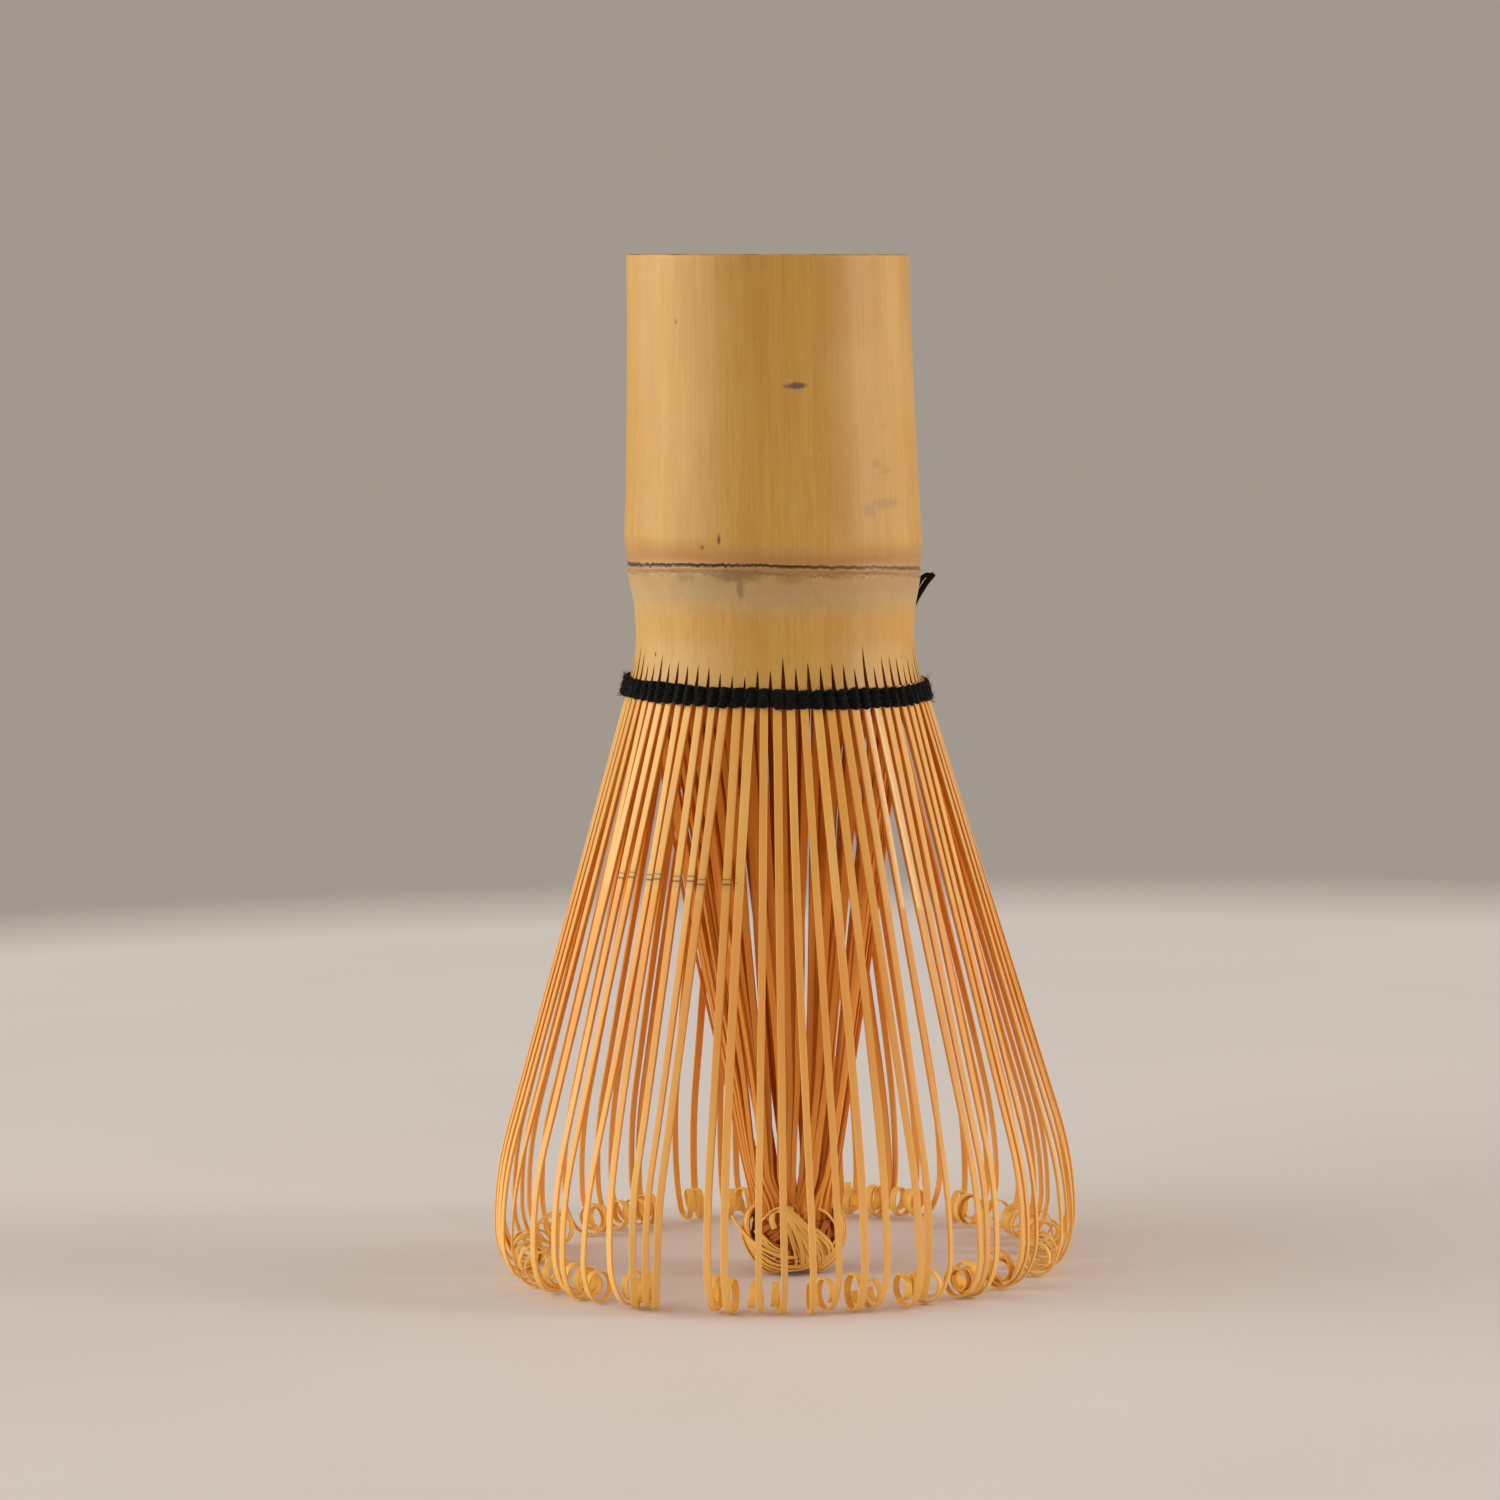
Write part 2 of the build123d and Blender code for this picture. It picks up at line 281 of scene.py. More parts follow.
class Nodes:
    """Short names for the node types that the materials use."""

    def __init__(self, name):
        self.material = bpy.data.materials.new(name)
        self.material.use_nodes = True
        self.tree = self.material.node_tree
        self.tree.nodes.clear()
        self.shader = self.tree.nodes.new("ShaderNodeBsdfPrincipled")
        output = self.tree.nodes.new("ShaderNodeOutputMaterial")
        self.link(self.shader.outputs[0], output.inputs[0])

    def link(self, source, target):
        if hasattr(source, "is_output"):
            self.tree.links.new(source, target)
        else:
            target.default_value = source

    def math(self, operation, a, b=0.0, c=0.0, clamp=False):
        node = self.tree.nodes.new("ShaderNodeMath")
        node.operation = operation
        node.use_clamp = clamp
        for value, socket in zip((a, b, c), node.inputs):
            self.link(value, socket)
        return node.outputs[0]

    def times(self, a, b, **options):
        return self.math("MULTIPLY", a, b, **options)

    def times_plus(self, a, b, c):
        return self.math("MULTIPLY_ADD", a, b, c)

    def plus(self, a, b):
        return self.math("ADD", a, b)

    def minus(self, a, b):
        return self.math("SUBTRACT", a, b)

    def over(self, a, b, **options):
        return self.math("DIVIDE", a, b, **options)

    def attribute(self, name):
        node = self.tree.nodes.new("ShaderNodeAttribute")
        node.attribute_name = name
        return node.outputs["Vector"]

    def fibre(self):
        """The piece's own coordinates: across, along and the strand's number, in mm."""
        return self.attribute("fibre")

    def rest(self):
        """The point's place at rest, in mm, so that marks stay put when a tine bends."""
        return self.attribute("rest")

    def place(self):
        """The point in the object's own frame, in metres."""
        return self.tree.nodes.new("ShaderNodeTexCoord").outputs["Object"]

    def scale(self, vector, scale):
        node = self.tree.nodes.new("ShaderNodeMapping")
        self.link(vector, node.inputs["Vector"])
        node.inputs["Scale"].default_value = scale
        return node.outputs[0]

    def split(self, vector):
        node = self.tree.nodes.new("ShaderNodeSeparateXYZ")
        self.link(vector, node.inputs[0])
        return node.outputs

    def noise(self, vector, scale, detail=4.0, roughness=0.55):
        node = self.tree.nodes.new("ShaderNodeTexNoise")
        self.link(self.scale(vector, scale), node.inputs["Vector"])
        node.inputs["Scale"].default_value = 1.0
        node.inputs["Detail"].default_value = detail
        node.inputs["Roughness"].default_value = roughness
        return node.outputs[0]

    def ramp(self, value, *stops):
        """A grey for each value, on the line between two (position, grey) stops."""
        node = self.tree.nodes.new("ShaderNodeValToRGB")
        self.link(value, node.inputs[0])
        for element, (position, grey) in zip(node.color_ramp.elements, stops):
            element.position = position
            element.color = (grey, grey, grey, 1)
        return node.outputs[0]

    def mix(self, factor, a, b):
        node = self.tree.nodes.new("ShaderNodeMix")
        node.data_type = "RGBA"
        self.link(factor, node.inputs[0])
        for value, socket in ((a, node.inputs[6]), (b, node.inputs[7])):
            self.link((*value, 1) if isinstance(value, tuple) else value, socket)
        return node.outputs[2]

    def tint(self, colour, other, value, *stops):
        """Mixes another colour in, as much as the ramp of a value says."""
        return self.mix(self.ramp(value, *stops), colour, other)

    def band(self, value, low, high, soft):
        """1 between low and high, 0 outside, with soft edges."""
        rise = self.math("SMOOTH_MIN", self.over(self.minus(value, low), soft), 1.0, 0.3)
        fall = self.math("SMOOTH_MIN", self.over(self.minus(high, value), soft), 1.0, 0.3)
        return self.times(self.math("MAXIMUM", rise, 0.0), self.math("MAXIMUM", fall, 0.0), clamp=True)

    def stripe(self, colour, other, value, edges, strength):
        """Mixes another colour in where a value lies between two edges: (low, high, softness)."""
        return self.mix(self.times(self.band(value, *edges), strength), colour, other)

    def bump(self, height, strength, distance_mm):
        node = self.tree.nodes.new("ShaderNodeBump")
        node.inputs["Strength"].default_value = strength
        node.inputs["Distance"].default_value = distance_mm * MM
        self.link(height, node.inputs["Height"])
        self.link(node.outputs[0], self.shader.inputs["Normal"])

    def finish(self, colour, roughness, specular=0.5, **constants):
        self.link(colour, self.shader.inputs["Base Color"])
        self.link(roughness, self.shader.inputs["Roughness"])
        self.shader.inputs["Specular IOR Level"].default_value = specular
        for socket, value in constants.items():
            self.shader.inputs[socket.replace("_", " ")].default_value = value
        return self.material


# ---------------------------------------------------------------- bamboo materials

CULM_LIGHT = (0.655, 0.36, 0.078)
CULM_DEEP = (0.55, 0.272, 0.050)
CULM_STREAK = (0.46, 0.208, 0.036)
CULM_PALE = (0.70, 0.44, 0.15)
NODE_BROWN = (0.42, 0.185, 0.06)
SCAR_DARK = (0.030, 0.016, 0.009)
# The next colour is painted shade: the soft shadow under the scar's lip.
LIP_SHADE_BROWN = (0.13, 0.055, 0.020)
LIP_TAN = (0.43, 0.23, 0.085)
NECK_GREY = (0.60, 0.40, 0.185)
NECK_DARK = (0.52, 0.335, 0.15)
TINE_GOLD = (0.82, 0.43, 0.095)
TINE_ORANGE = (0.86, 0.39, 0.09)
# The next colour and CURL_YELLOW are painted glow: the light that the thin feet and curls let through.
TINE_TAN = (0.90, 0.50, 0.145)
# What a tine's own colour is multiplied by, in its deeper and in its paler streaks
TINE_DEEPENING = (0.79, 0.74, 0.56)
TINE_PALING = (1.08, 1.32, 2.1)
INNER_ORANGE = (0.76, 0.255, 0.022)
INNER_STEAMED = (0.82, 0.32, 0.045)
# The bun's "depth" tint is painted shade: the wound tips, the deepest hank tips and the core take it
# where they lie in the bun's shadow.
BUN_TINTS = (
    ("skin", (0.93, 0.55, 0.14)), ("side", (0.84, 0.40, 0.08)), ("depth", (0.48, 0.125, 0.008)),
)
CURL_YELLOW = (0.94, 0.57, 0.12)
FLESH = (0.82, 0.295, 0.030)
FLESH_DARK = (0.62, 0.165, 0.010)
FLESH_LIGHT = (0.88, 0.42, 0.08)
# The next two colours are painted shade: the dark browns of the split sides and tine roots stand for
# the shadow in the splits, and the darker one also shades the inner tines' tops.
SPLIT_SHADED_BROWN = (0.42, 0.17, 0.038)
SPLIT_SHADE_DARK = (0.20, 0.075, 0.020)
INK = (0.14, 0.085, 0.07)
STAIN = (0.32, 0.18, 0.07)
SMUDGE = (0.24, 0.13, 0.05)
SOILED = (0.36, 0.235, 0.125)
SPECK_RED = (0.20, 0.05, 0.015)
SPECK_BROWN = (0.28, 0.07, 0.02)
TINE_LINE = (0.15, 0.08, 0.04)
RIM_TAN = (0.60, 0.40, 0.19)
BORE_TAN = (0.50, 0.31, 0.14)
BUNDLE_BROWN = (0.24, 0.12, 0.045)
THREAD_BLACK = (0.0014, 0.0014, 0.0016)
THREAD_GREY = (0.030, 0.031, 0.035)

SKIN_MM_PER_DEGREE = 0.262
# Marks on the handle: azimuth, height, half width, half height, strength, colour
CULM_MARKS = (
    (10, 92.0, 1.35, 0.42, 0.95, INK),
    (5.4, 92.0, 0.28, 0.2, 0.6, INK),
    (-40, 98.6, 0.28, 0.36, 0.6, INK),
    (-21, 76.7, 0.22, 0.7, 1.0, SPECK_RED),
    (-28, 75.9, 0.38, 0.38, 0.8, SPECK_BROWN),
    (-13.5, 71.8, 0.42, 1.6, 0.66, SMUDGE),
    (-15, 73.0, 3.4, 0.9, 0.78, SMUDGE),
    (6, 72.7, 2.2, 0.8, 0.40, SMUDGE),
    (-36, 72.9, 1.6, 0.7, 0.40, SMUDGE),
    (24, 72.8, 1.8, 0.6, 0.35, SMUDGE),
    (44, 83.9, 0.7, 0.6, 0.40, STAIN),
    (50, 83.1, 0.9, 0.5, 0.30, STAIN),
    (50, 87.6, 0.7, 0.4, 0.25, STAIN),
    (49, 79.8, 3.6, 0.75, 0.40, STAIN),
    (40, 79.2, 1.1, 0.8, 0.50, STAIN),
    (-150, 88.0, 0.5, 0.3, 0.5, STAIN),
    (130, 95.0, 0.8, 0.25, 0.5, INK),
    (170, 81.0, 1.3, 0.6, 0.5, STAIN),
)


def culm_skin():
    """Polished bamboo skin: fibres up the culm, a brown band over the node and a pale one under it.

    The fibre attribute holds the azimuth in degrees, the height, and the height over the scar.
    """
    n = Nodes("bamboo_culm_skin")
    azimuth, height, over_scar = n.split(n.fibre())
    rest = n.rest()
    streaks = n.noise(rest, (2.6, 2.6, 0.022), detail=5.0, roughness=0.6)
    fine = n.noise(rest, (7.5, 7.5, 0.07), roughness=0.6)
    broad = n.noise(rest, (0.21, 0.21, 0.012), detail=3.0)
    cloud = n.noise(rest, (0.09, 0.09, 0.06))
    speck = n.noise(rest, (2.4, 2.4, 1.5), detail=6.0, roughness=0.75)
    colour = n.tint(CULM_DEEP, CULM_LIGHT, broad, (0.30, 0.0), (0.70, 1.0))
    colour = n.tint(colour, CULM_STREAK, streaks, (0.30, 0.42), (0.58, 0.0))
    colour = n.tint(colour, CULM_STREAK, fine, (0.34, 0.30), (0.52, 0.0))
    colour = n.tint(colour, CULM_PALE, cloud, (0.50, 0.0), (0.70, 0.30))
    colour = n.tint(colour, CULM_PALE, speck, (0.56, 0.0), (0.72, 0.40))
    edge = n.times_plus(cloud, 2.6, -1.3)
    above = n.plus(over_scar, edge)
    colour = n.stripe(colour, NODE_BROWN, above, (-0.6, 3.3, 1.6), 0.65)
    greyed = n.tint(NECK_GREY, NECK_DARK, speck, (0.36, 1.0), (0.62, 0.0))
    greyed = n.tint(greyed, NECK_DARK, streaks, (0.36, 0.5), (0.62, 0.0))
    colour = n.stripe(colour, greyed, above, (-4.4, 0.3, 2.4), 0.85)
    soiled = n.ramp(cloud, (0.40, 0.62), (0.60, 0.26))
    colour = n.stripe(colour, SOILED, above, (-3.4, 0.6, 2.2), soiled)
    dirty = n.ramp(speck, (0.50, 0.0), (0.66, 0.5))
    colour = n.stripe(colour, NODE_BROWN, above, (-1.6, 1.0, 0.8), dirty)
    sawn = n.ramp(fine, (0.40, 0.75), (0.60, 0.25))
    colour = n.stripe(colour, NODE_BROWN, height, (HEIGHT - 0.22, HEIGHT + 1, 0.15), sawn)
    torn = n.noise(rest, (2.4, 2.4, 0.4), detail=6.0, roughness=0.72)
    line = n.plus(over_scar, n.times_plus(torn, 1.25, -0.62))
    parted = n.noise(rest, (0.5, 0.5, 0.0), detail=6.0, roughness=0.7)
    leftward = n.ramp(n.over(n.plus(azimuth, 90.0), 180.0), (0.35, 1.0), (0.65, 0.72))
    upper = n.times(n.ramp(parted, (0.30, 0.45), (0.42, 1.0)), leftward)
    # Painted shade: the lower, browner line under the scar's lip is the soft shadow there.
    lower = n.ramp(parted, (0.42, 0.80), (0.62, 0.35))
    colour = n.stripe(colour, LIP_TAN, line, (-0.40, 0.30, 0.16), 0.80)
    colour = n.stripe(colour, LIP_SHADE_BROWN, line, (-0.60, -0.30, 0.14), lower)
    colour = n.stripe(colour, SCAR_DARK, line, (0.12, 0.68, 0.14), upper)
    patchy = n.noise(rest, (1.1, 1.1, 0.9), detail=5.0, roughness=0.7)
    warp = n.times_plus(patchy, 1.5, -0.75)
    for mark_azimuth, mark_height, half_width, half_height, strength, tint in CULM_MARKS:
        across = n.times(n.minus(azimuth, mark_azimuth), SKIN_MM_PER_DEGREE / half_width)
        up = n.times(n.minus(height, mark_height), 1 / half_height)
        far = n.math("SQRT", n.plus(n.times(across, across), n.times(up, up)))
        colour = n.tint(colour, tint, n.plus(far, warp), (0.45, strength), (1.0, 0.0))
    grain = n.plus(n.times(fine, 0.7), n.times(speck, 0.25))
    n.bump(grain, 0.35, 0.05)
    roughness = n.ramp(speck, (0.3, 0.36), (0.7, 0.50))
    return n.finish(colour, roughness, specular=0.45, Coat_Weight=0.05, Coat_Roughness=0.3)


def culm_cut(name, base, dots):
    """Bamboo cut across or split open: vascular bundles as dots, crowding towards the skin."""
    n = Nodes(name)
    rest = n.rest()
    cells = n.tree.nodes.new("ShaderNodeTexVoronoi")
    n.link(n.scale(rest, (2.1, 2.1, 0.06)), cells.inputs["Vector"])
    cells.inputs["Scale"].default_value = 1.0
    rough = n.noise(rest, (0.9, 0.9, 0.09), detail=5.0, roughness=0.65)
    colour = n.tint(tuple(c * 0.8 for c in base), base, rough, (0.3, 0.0), (0.7, 1.0))
    spots = n.ramp(cells.outputs["Distance"], (0.16, dots), (0.36, 0.0))
    colour = n.mix(spots, colour, BUNDLE_BROWN)
    n.bump(n.minus(rough, spots), 0.4, 0.06)
    return n.finish(colour, 0.62, specular=0.3)


def painted_glow_through(n, along, colour, curled):
    """Painted glow of the light that a thinning tine lets through: tan at the foot, yellow in the curl.
    """
    reach = n.over(along, 80.0)
    colour = n.tint(colour, TINE_TAN, reach, (0.42, 0.0), (0.68, 0.6 if curled else 0.2))
    if not curled:
        return colour
    return n.tint(colour, CURL_YELLOW, reach, (0.72, 0.0), (0.84, 0.9))


STEAMED_HEIGHT = 40.4
DRAWN_LINE_HEIGHT = 41.95
# Strand numbers of the two tines at the front right that kept the most polish
SHINIEST_TINES = (9.9, 11.7)


def tine_skin(name, tints, polished=False):
    """The skin side of a tine, with tints (above, where steamed) that turn yellow in the curl.

    The fibre attribute holds the place across and along the tine in mm, and the tine's number.
    A polished tine keeps its gloss down to where the steamed part starts; any other tine darkens near
    its top as painted shade.
    """
    n = Nodes(name)
    fibre = n.fibre()
    _, along, number = n.split(fibre)
    x, y, height = n.split(n.rest())
    streaks = n.noise(fibre, (9.0, 0.10, 7.3), roughness=0.6)
    tone = n.noise(fibre, (0.0, 0.035, 3.7), detail=2.0)
    own = n.noise(fibre, (0.0, 0.0, 5.1), detail=1.0)
    edge = n.times_plus(x, -0.07, STEAMED_HEIGHT)
    below = n.minus(n.plus(edge, n.times_plus(own, 1.6, -0.8)), height)
    steamed = n.ramp(n.times_plus(below, 0.5, 0.5), (0.35, 0.0), (0.65, 1.0))
    deep = tuple(c * part for c, part in zip(tints[1], TINE_DEEPENING))
    pale = tuple(c * part for c, part in zip(tints[0], TINE_PALING))
    colour = n.mix(steamed, *tints)
    colour = n.tint(colour, deep, own, (0.38, 0.35), (0.56, 0.0))
    colour = n.tint(colour, deep, tone, (0.38, 0.35), (0.56, 0.0))
    colour = n.tint(colour, pale, tone, (0.55, 0.0), (0.72, 0.5))
    colour = n.tint(colour, deep, streaks, (0.28, 0.45), (0.54, 0.0))
    colour = painted_glow_through(n, along, colour, polished)
    roughness = n.ramp(streaks, (0.3, 0.60), (0.7, 0.50))
    if polished:
        sides = n.times(n.band(x, -17.2, -4.2, 0.6), n.math("LESS_THAN", y, 0.0))
        drop = n.minus(height, n.times_plus(own, 1.1, DRAWN_LINE_HEIGHT))
        first = n.band(drop, -0.16, 0.14, 0.10)
        second = n.band(drop, 0.36, 0.58, 0.10)
        smudge = n.times(n.band(drop, -0.9, 1.0, 0.5), 0.16)
        lines = n.math("MAXIMUM", n.math("MAXIMUM", first, second), smudge)
        ink = n.times(lines, n.times(sides, 0.95))
        colour = n.mix(ink, colour, TINE_LINE)
        shiny = n.band(number, *SHINIEST_TINES, 0.1)
        gloss = n.mix(shiny, n.ramp(own, (0.40, 0.28), (0.60, 0.42)), (0.17, 0.17, 0.17))
        roughness = n.mix(steamed, gloss, roughness)
    else:
        # Painted shade: an inner tine darkens towards its top, where the culm and the thread shade it.
        top_shade = n.over(n.minus(height, 59.5), 3.0)
        colour = n.tint(colour, SPLIT_SHADE_DARK, top_shade, (0.0, 0.0), (1.0, 0.55))
    n.bump(streaks, 0.2, 0.03)
    return n.finish(colour, roughness, specular=0.36 if polished else 0.2)


def tine_flesh(name, curled=False):
    """The split sides and the shaved inside of a tine."""
    n = Nodes(name)
    fibre = n.fibre()
    _, along, _ = n.split(fibre)
    streaks = n.noise(fibre, (14.0, 0.12, 7.3), detail=5.0, roughness=0.65)
    tone = n.noise(fibre, (0.0, 0.05, 4.9), detail=2.0)
    colour = n.tint(FLESH_DARK, FLESH, streaks, (0.3, 0.0), (0.66, 1.0))
    light = FLESH_LIGHT if curled else FLESH
    colour = n.tint(colour, light, tone, (0.50, 0.0), (0.68, 0.45))
    colour = painted_glow_through(n, along, colour, curled)
    n.bump(streaks, 0.45, 0.04)
    return n.finish(colour, 0.6, specular=0.12)


def shaded_split_flesh():
    """The split sides and the inside of the tine roots, darkened all over as painted shade for the
    shadow inside the splits.
    """
    n = Nodes("shaded_split_flesh")
    rest = n.rest()
    streaks = n.noise(rest, (7.0, 7.0, 0.3), detail=5.0, roughness=0.65)
    colour = n.tint(SPLIT_SHADE_DARK, SPLIT_SHADED_BROWN, streaks, (0.3, 0.0), (0.66, 1.0))
    n.bump(streaks, 0.45, 0.04)
    return n.finish(colour, 0.7, specular=0.1)


def thread_black():
    """Dark spun thread, its ply slanting round the strand."""
    n = Nodes("thread_black")
    fibre = n.fibre()
    around, along, _ = n.split(fibre)
    ply = n.math("SINE", n.plus(n.times(around, 2.0), n.times(along, 9.0)))
    fluff = n.noise(fibre, (6.0, 22.0, 3.0), detail=6.0, roughness=0.75)
    colour = n.tint(THREAD_BLACK, THREAD_GREY, fluff, (0.50, 0.0), (0.72, 1.0))
    n.bump(n.plus(n.times(ply, 0.6), fluff), 1.0, 0.12)
    return n.finish(colour, 0.95, specular=0.05, Sheen_Weight=0.05, Sheen_Roughness=0.6)


# ---------------------------------------------------------------- the culm

# Outer radius of the culm by height, from the rim to the tine roots
CULM_PROFILE = (
    (106.0, 14.56), (98.0, 14.68), (92.3, 14.82), (86.0, 15.02), (80.0, 15.24), (77.6, 15.38),
    (76.2, 15.44), (75.0, 15.35), (73.7, 15.22), (72.9, 15.24), (72.2, 15.18), (71.4, 15.05),
    (70.4, 14.86), (69.4, 14.66), (67.5, 14.50), (65.6, 14.45), (64.2, 14.58), (63.0, 14.78),
    (62.0, 14.98), (61.0, 15.28), (60.0, 15.57), (59.0, 15.87),
)
SCAR_HEIGHT = 72.7
SCAR_RISE_TO_FRONT = 0.058
LEAN_OF_RINGS = 0.035
RIM_DROP = 0.022
RIM_RADIUS = 14.57
RIM_ROUNDING = 0.13
BORE_RADIUS = 11.6
SEPTUM_TOP = 75.4
SEPTUM_BOTTOM = 73.6
ROOT_BOTTOM = 60.1
SPLIT_START = 66.0
# The height over the scar given to surfaces that show no scar
FAR_FROM_SCAR = 9.0
STRIP_COLUMNS = 6
# Tops of the splits that stand out at the front, by the number of the tine on their left
SPLIT_HEIGHTS = {
    -15: 65.0, -14: 64.4, -9: 63.9, 0: 64.7, 2: 64.2, 7: 65.8, 10: 64.6, 15: 65.4, 16: 66.0,
}


def ring_lean(x, height):
    """How far the node, the thread and the rim tip down towards +X."""
    node = LEAN_OF_RINGS * smooth_step(height, 52.0, 60.0) * (1 - smooth_step(height, 77.0, 95.0))
    rim = RIM_DROP * smooth_step(height, 95.0, 105.0)
    return -x * node - (x + 14.6) * rim


def wobble(azimuth, seed, waves):
    """A smooth irregular closed line round the culm, from -1 to 1 or so."""
    draw = random.Random(seed)
    total = 0
    for cycles in waves:
        phase = draw.uniform(0, 2 * math.pi)
        total = total + math.sqrt(waves[0] / cycles) * np.sin(np.radians(azimuth) * cycles + phase)
    return total / math.sqrt(len(waves))


def split_height(boundary, draw):
    """Top of the split between tine number boundary and the next."""
    index = boundary if boundary <= TINE_COUNT // 2 else boundary - TINE_COUNT
    beside = 0.8 if 3 < index < 20 else 0.3 if -20 < index < -6 else 0.0
    drawn = draw.uniform(62.6, 63.9) + beside + (draw.random() < 0.16) * 0.8
    return SPLIT_HEIGHTS.get(index, drawn)


def split_width(height, top):
    """Width of a split at a height: a point at its top, opening down to the thread."""
    foot = ROW_TOP - 0.3
    widest = min(0.52, 0.12 + 0.14 * (top - foot))
    opening = np.clip((top - height) / (top - foot), 0, 1) ** 0.75
    return widest * opening + 0.1 * np.clip(foot - height, 0, 1)


def culm_rows():
    """Heights of the culm's rings, close together at the rim, the scar and the splits."""
    return np.concatenate([
        [HEIGHT, HEIGHT - 0.04, HEIGHT - 0.12, HEIGHT - 0.3, HEIGHT - 0.7],
        np.arange(103.4, 78.0, -1.7),
        np.arange(77.6, 73.6, -0.4),
        np.arange(73.45, 71.95, -0.07),
        np.arange(71.7, SPLIT_START + 0.4, -0.55),
        np.arange(SPLIT_START, ROOT_BOTTOM - 0.01, -0.2),
    ])


def culm_outside(builder, tops):
    """The skin, one strip for each tine, joined above the splits and parted below them."""
    rows = culm_rows()
    radius = smooth_curve(CULM_PROFILE, rows)
    radius[:3] -= (RIM_ROUNDING, 0.05, 0.01)
    inside_radius = smooth_curve(
        ((SPLIT_START, 12.6), (64.5, 13.3), (63.2, 13.9), (62.0, 14.5), (ROOT_BOTTOM, 15.16)), rows
    )
    split = rows <= SPLIT_START + 1e-6
    columns = STRIP_COLUMNS + 1
    spread = np.linspace(-0.5, 0.5, columns)
    for tine in range(TINE_COUNT):
        half = math.radians(PITCH) / 2
        left = half - split_width(rows, tops[tine - 1]) / 2 / radius
        right = half - split_width(rows, tops[tine]) / 2 / radius
        middle = (right - left) / 2
        azimuth = math.radians(tine * PITCH) + middle[:, None] + spread * (left + right)[:, None]
        points, over_scar = culm_points(azimuth, rows, radius)
        degrees = np.degrees(azimuth) - (360 if tine >= TINE_COUNT / 2 else 0)
        fibres = np.stack([degrees, points[:, :, 2], over_scar], axis=2)
        builder.add_grid(points, fibres)
        add_strip_inside(builder, points[split], azimuth[split], inside_radius[split], fibres[split])


def culm_points(azimuth, rows, radius):
    """Points of the skin, its rows bent to follow the scar, with the scar's grooves and ridge."""
    degrees = np.degrees(azimuth)
    near_scar = np.exp(-((rows - SCAR_HEIGHT) / 1.6) ** 2)[:, None]
    y = -radius[:, None] * np.cos(azimuth)
    bend = -SCAR_RISE_TO_FRONT * y + 0.10 * wobble(degrees, 3, (3, 5, 9, 14, 23))
    over_scar = rows[:, None] - SCAR_HEIGHT + 0 * azimuth
    rough = wobble(degrees, 5, (19, 31, 47, 71, 97))
    torn = 0.5 + 0.5 * wobble(degrees, 8, (4, 7, 13, 29))
    groove = -0.13 * np.clip(torn + 0.35, 0.25, 1.3) * np.exp(-((over_scar - 0.34) / 0.13) ** 2)
    ridge = 0.10 * np.exp(-(over_scar / 0.18) ** 2)
    foot = -0.07 * np.exp(-((over_scar + 0.34) / 0.15) ** 2)
    oval = 1 + 0.0035 * np.cos(2 * azimuth + 0.7)
    r = radius[:, None] * oval + groove + ridge * (1 + 0.3 * rough) + foot
    x = r * np.sin(azimuth)
    z = rows[:, None] + bend * near_scar + 0.03 * rough * near_scar**4
    z = z + ring_lean(x, z)
    z = z - 0.05 * np.abs(wobble(degrees, 11, (6, 17, 37, 83))) * (rows > HEIGHT - 0.2)[:, None]
    return polar(r, azimuth, z), over_scar


def add_strip_inside(builder, outside, azimuth, inside_radius, fibres):
    """The inside and the split sides of one tine root."""
    inside = polar(inside_radius[:, None], azimuth, outside[:, :, 2])
    builder.add_grid(inside, fibres, 1)
    for edge in (0, -1):
        wall = np.stack([outside[:, edge], inside[:, edge]], axis=1)
        builder.add_grid(wall, np.stack([fibres[:, edge]] * 2, axis=1), 1)
    builder.add_grid(np.stack([outside[-1], inside[-1]]), np.stack([fibres[-1]] * 2), 1)


def turned(builder, outline, material, columns=144):
    """A turned surface through (radius, height) points, leaning with the rings."""
    azimuth = np.linspace(0, 2 * math.pi, columns, endpoint=False)
    r, z = np.array(outline, float).T
    z = z[:, None] + ring_lean(r[:, None] * np.sin(azimuth), z[:, None])
    points = polar(r[:, None], azimuth, z)
    fibres = np.stack(np.broadcast_arrays(np.degrees(azimuth), z, FAR_FROM_SCAR), axis=2)
    builder.add_grid(points, fibres, material, around=True)


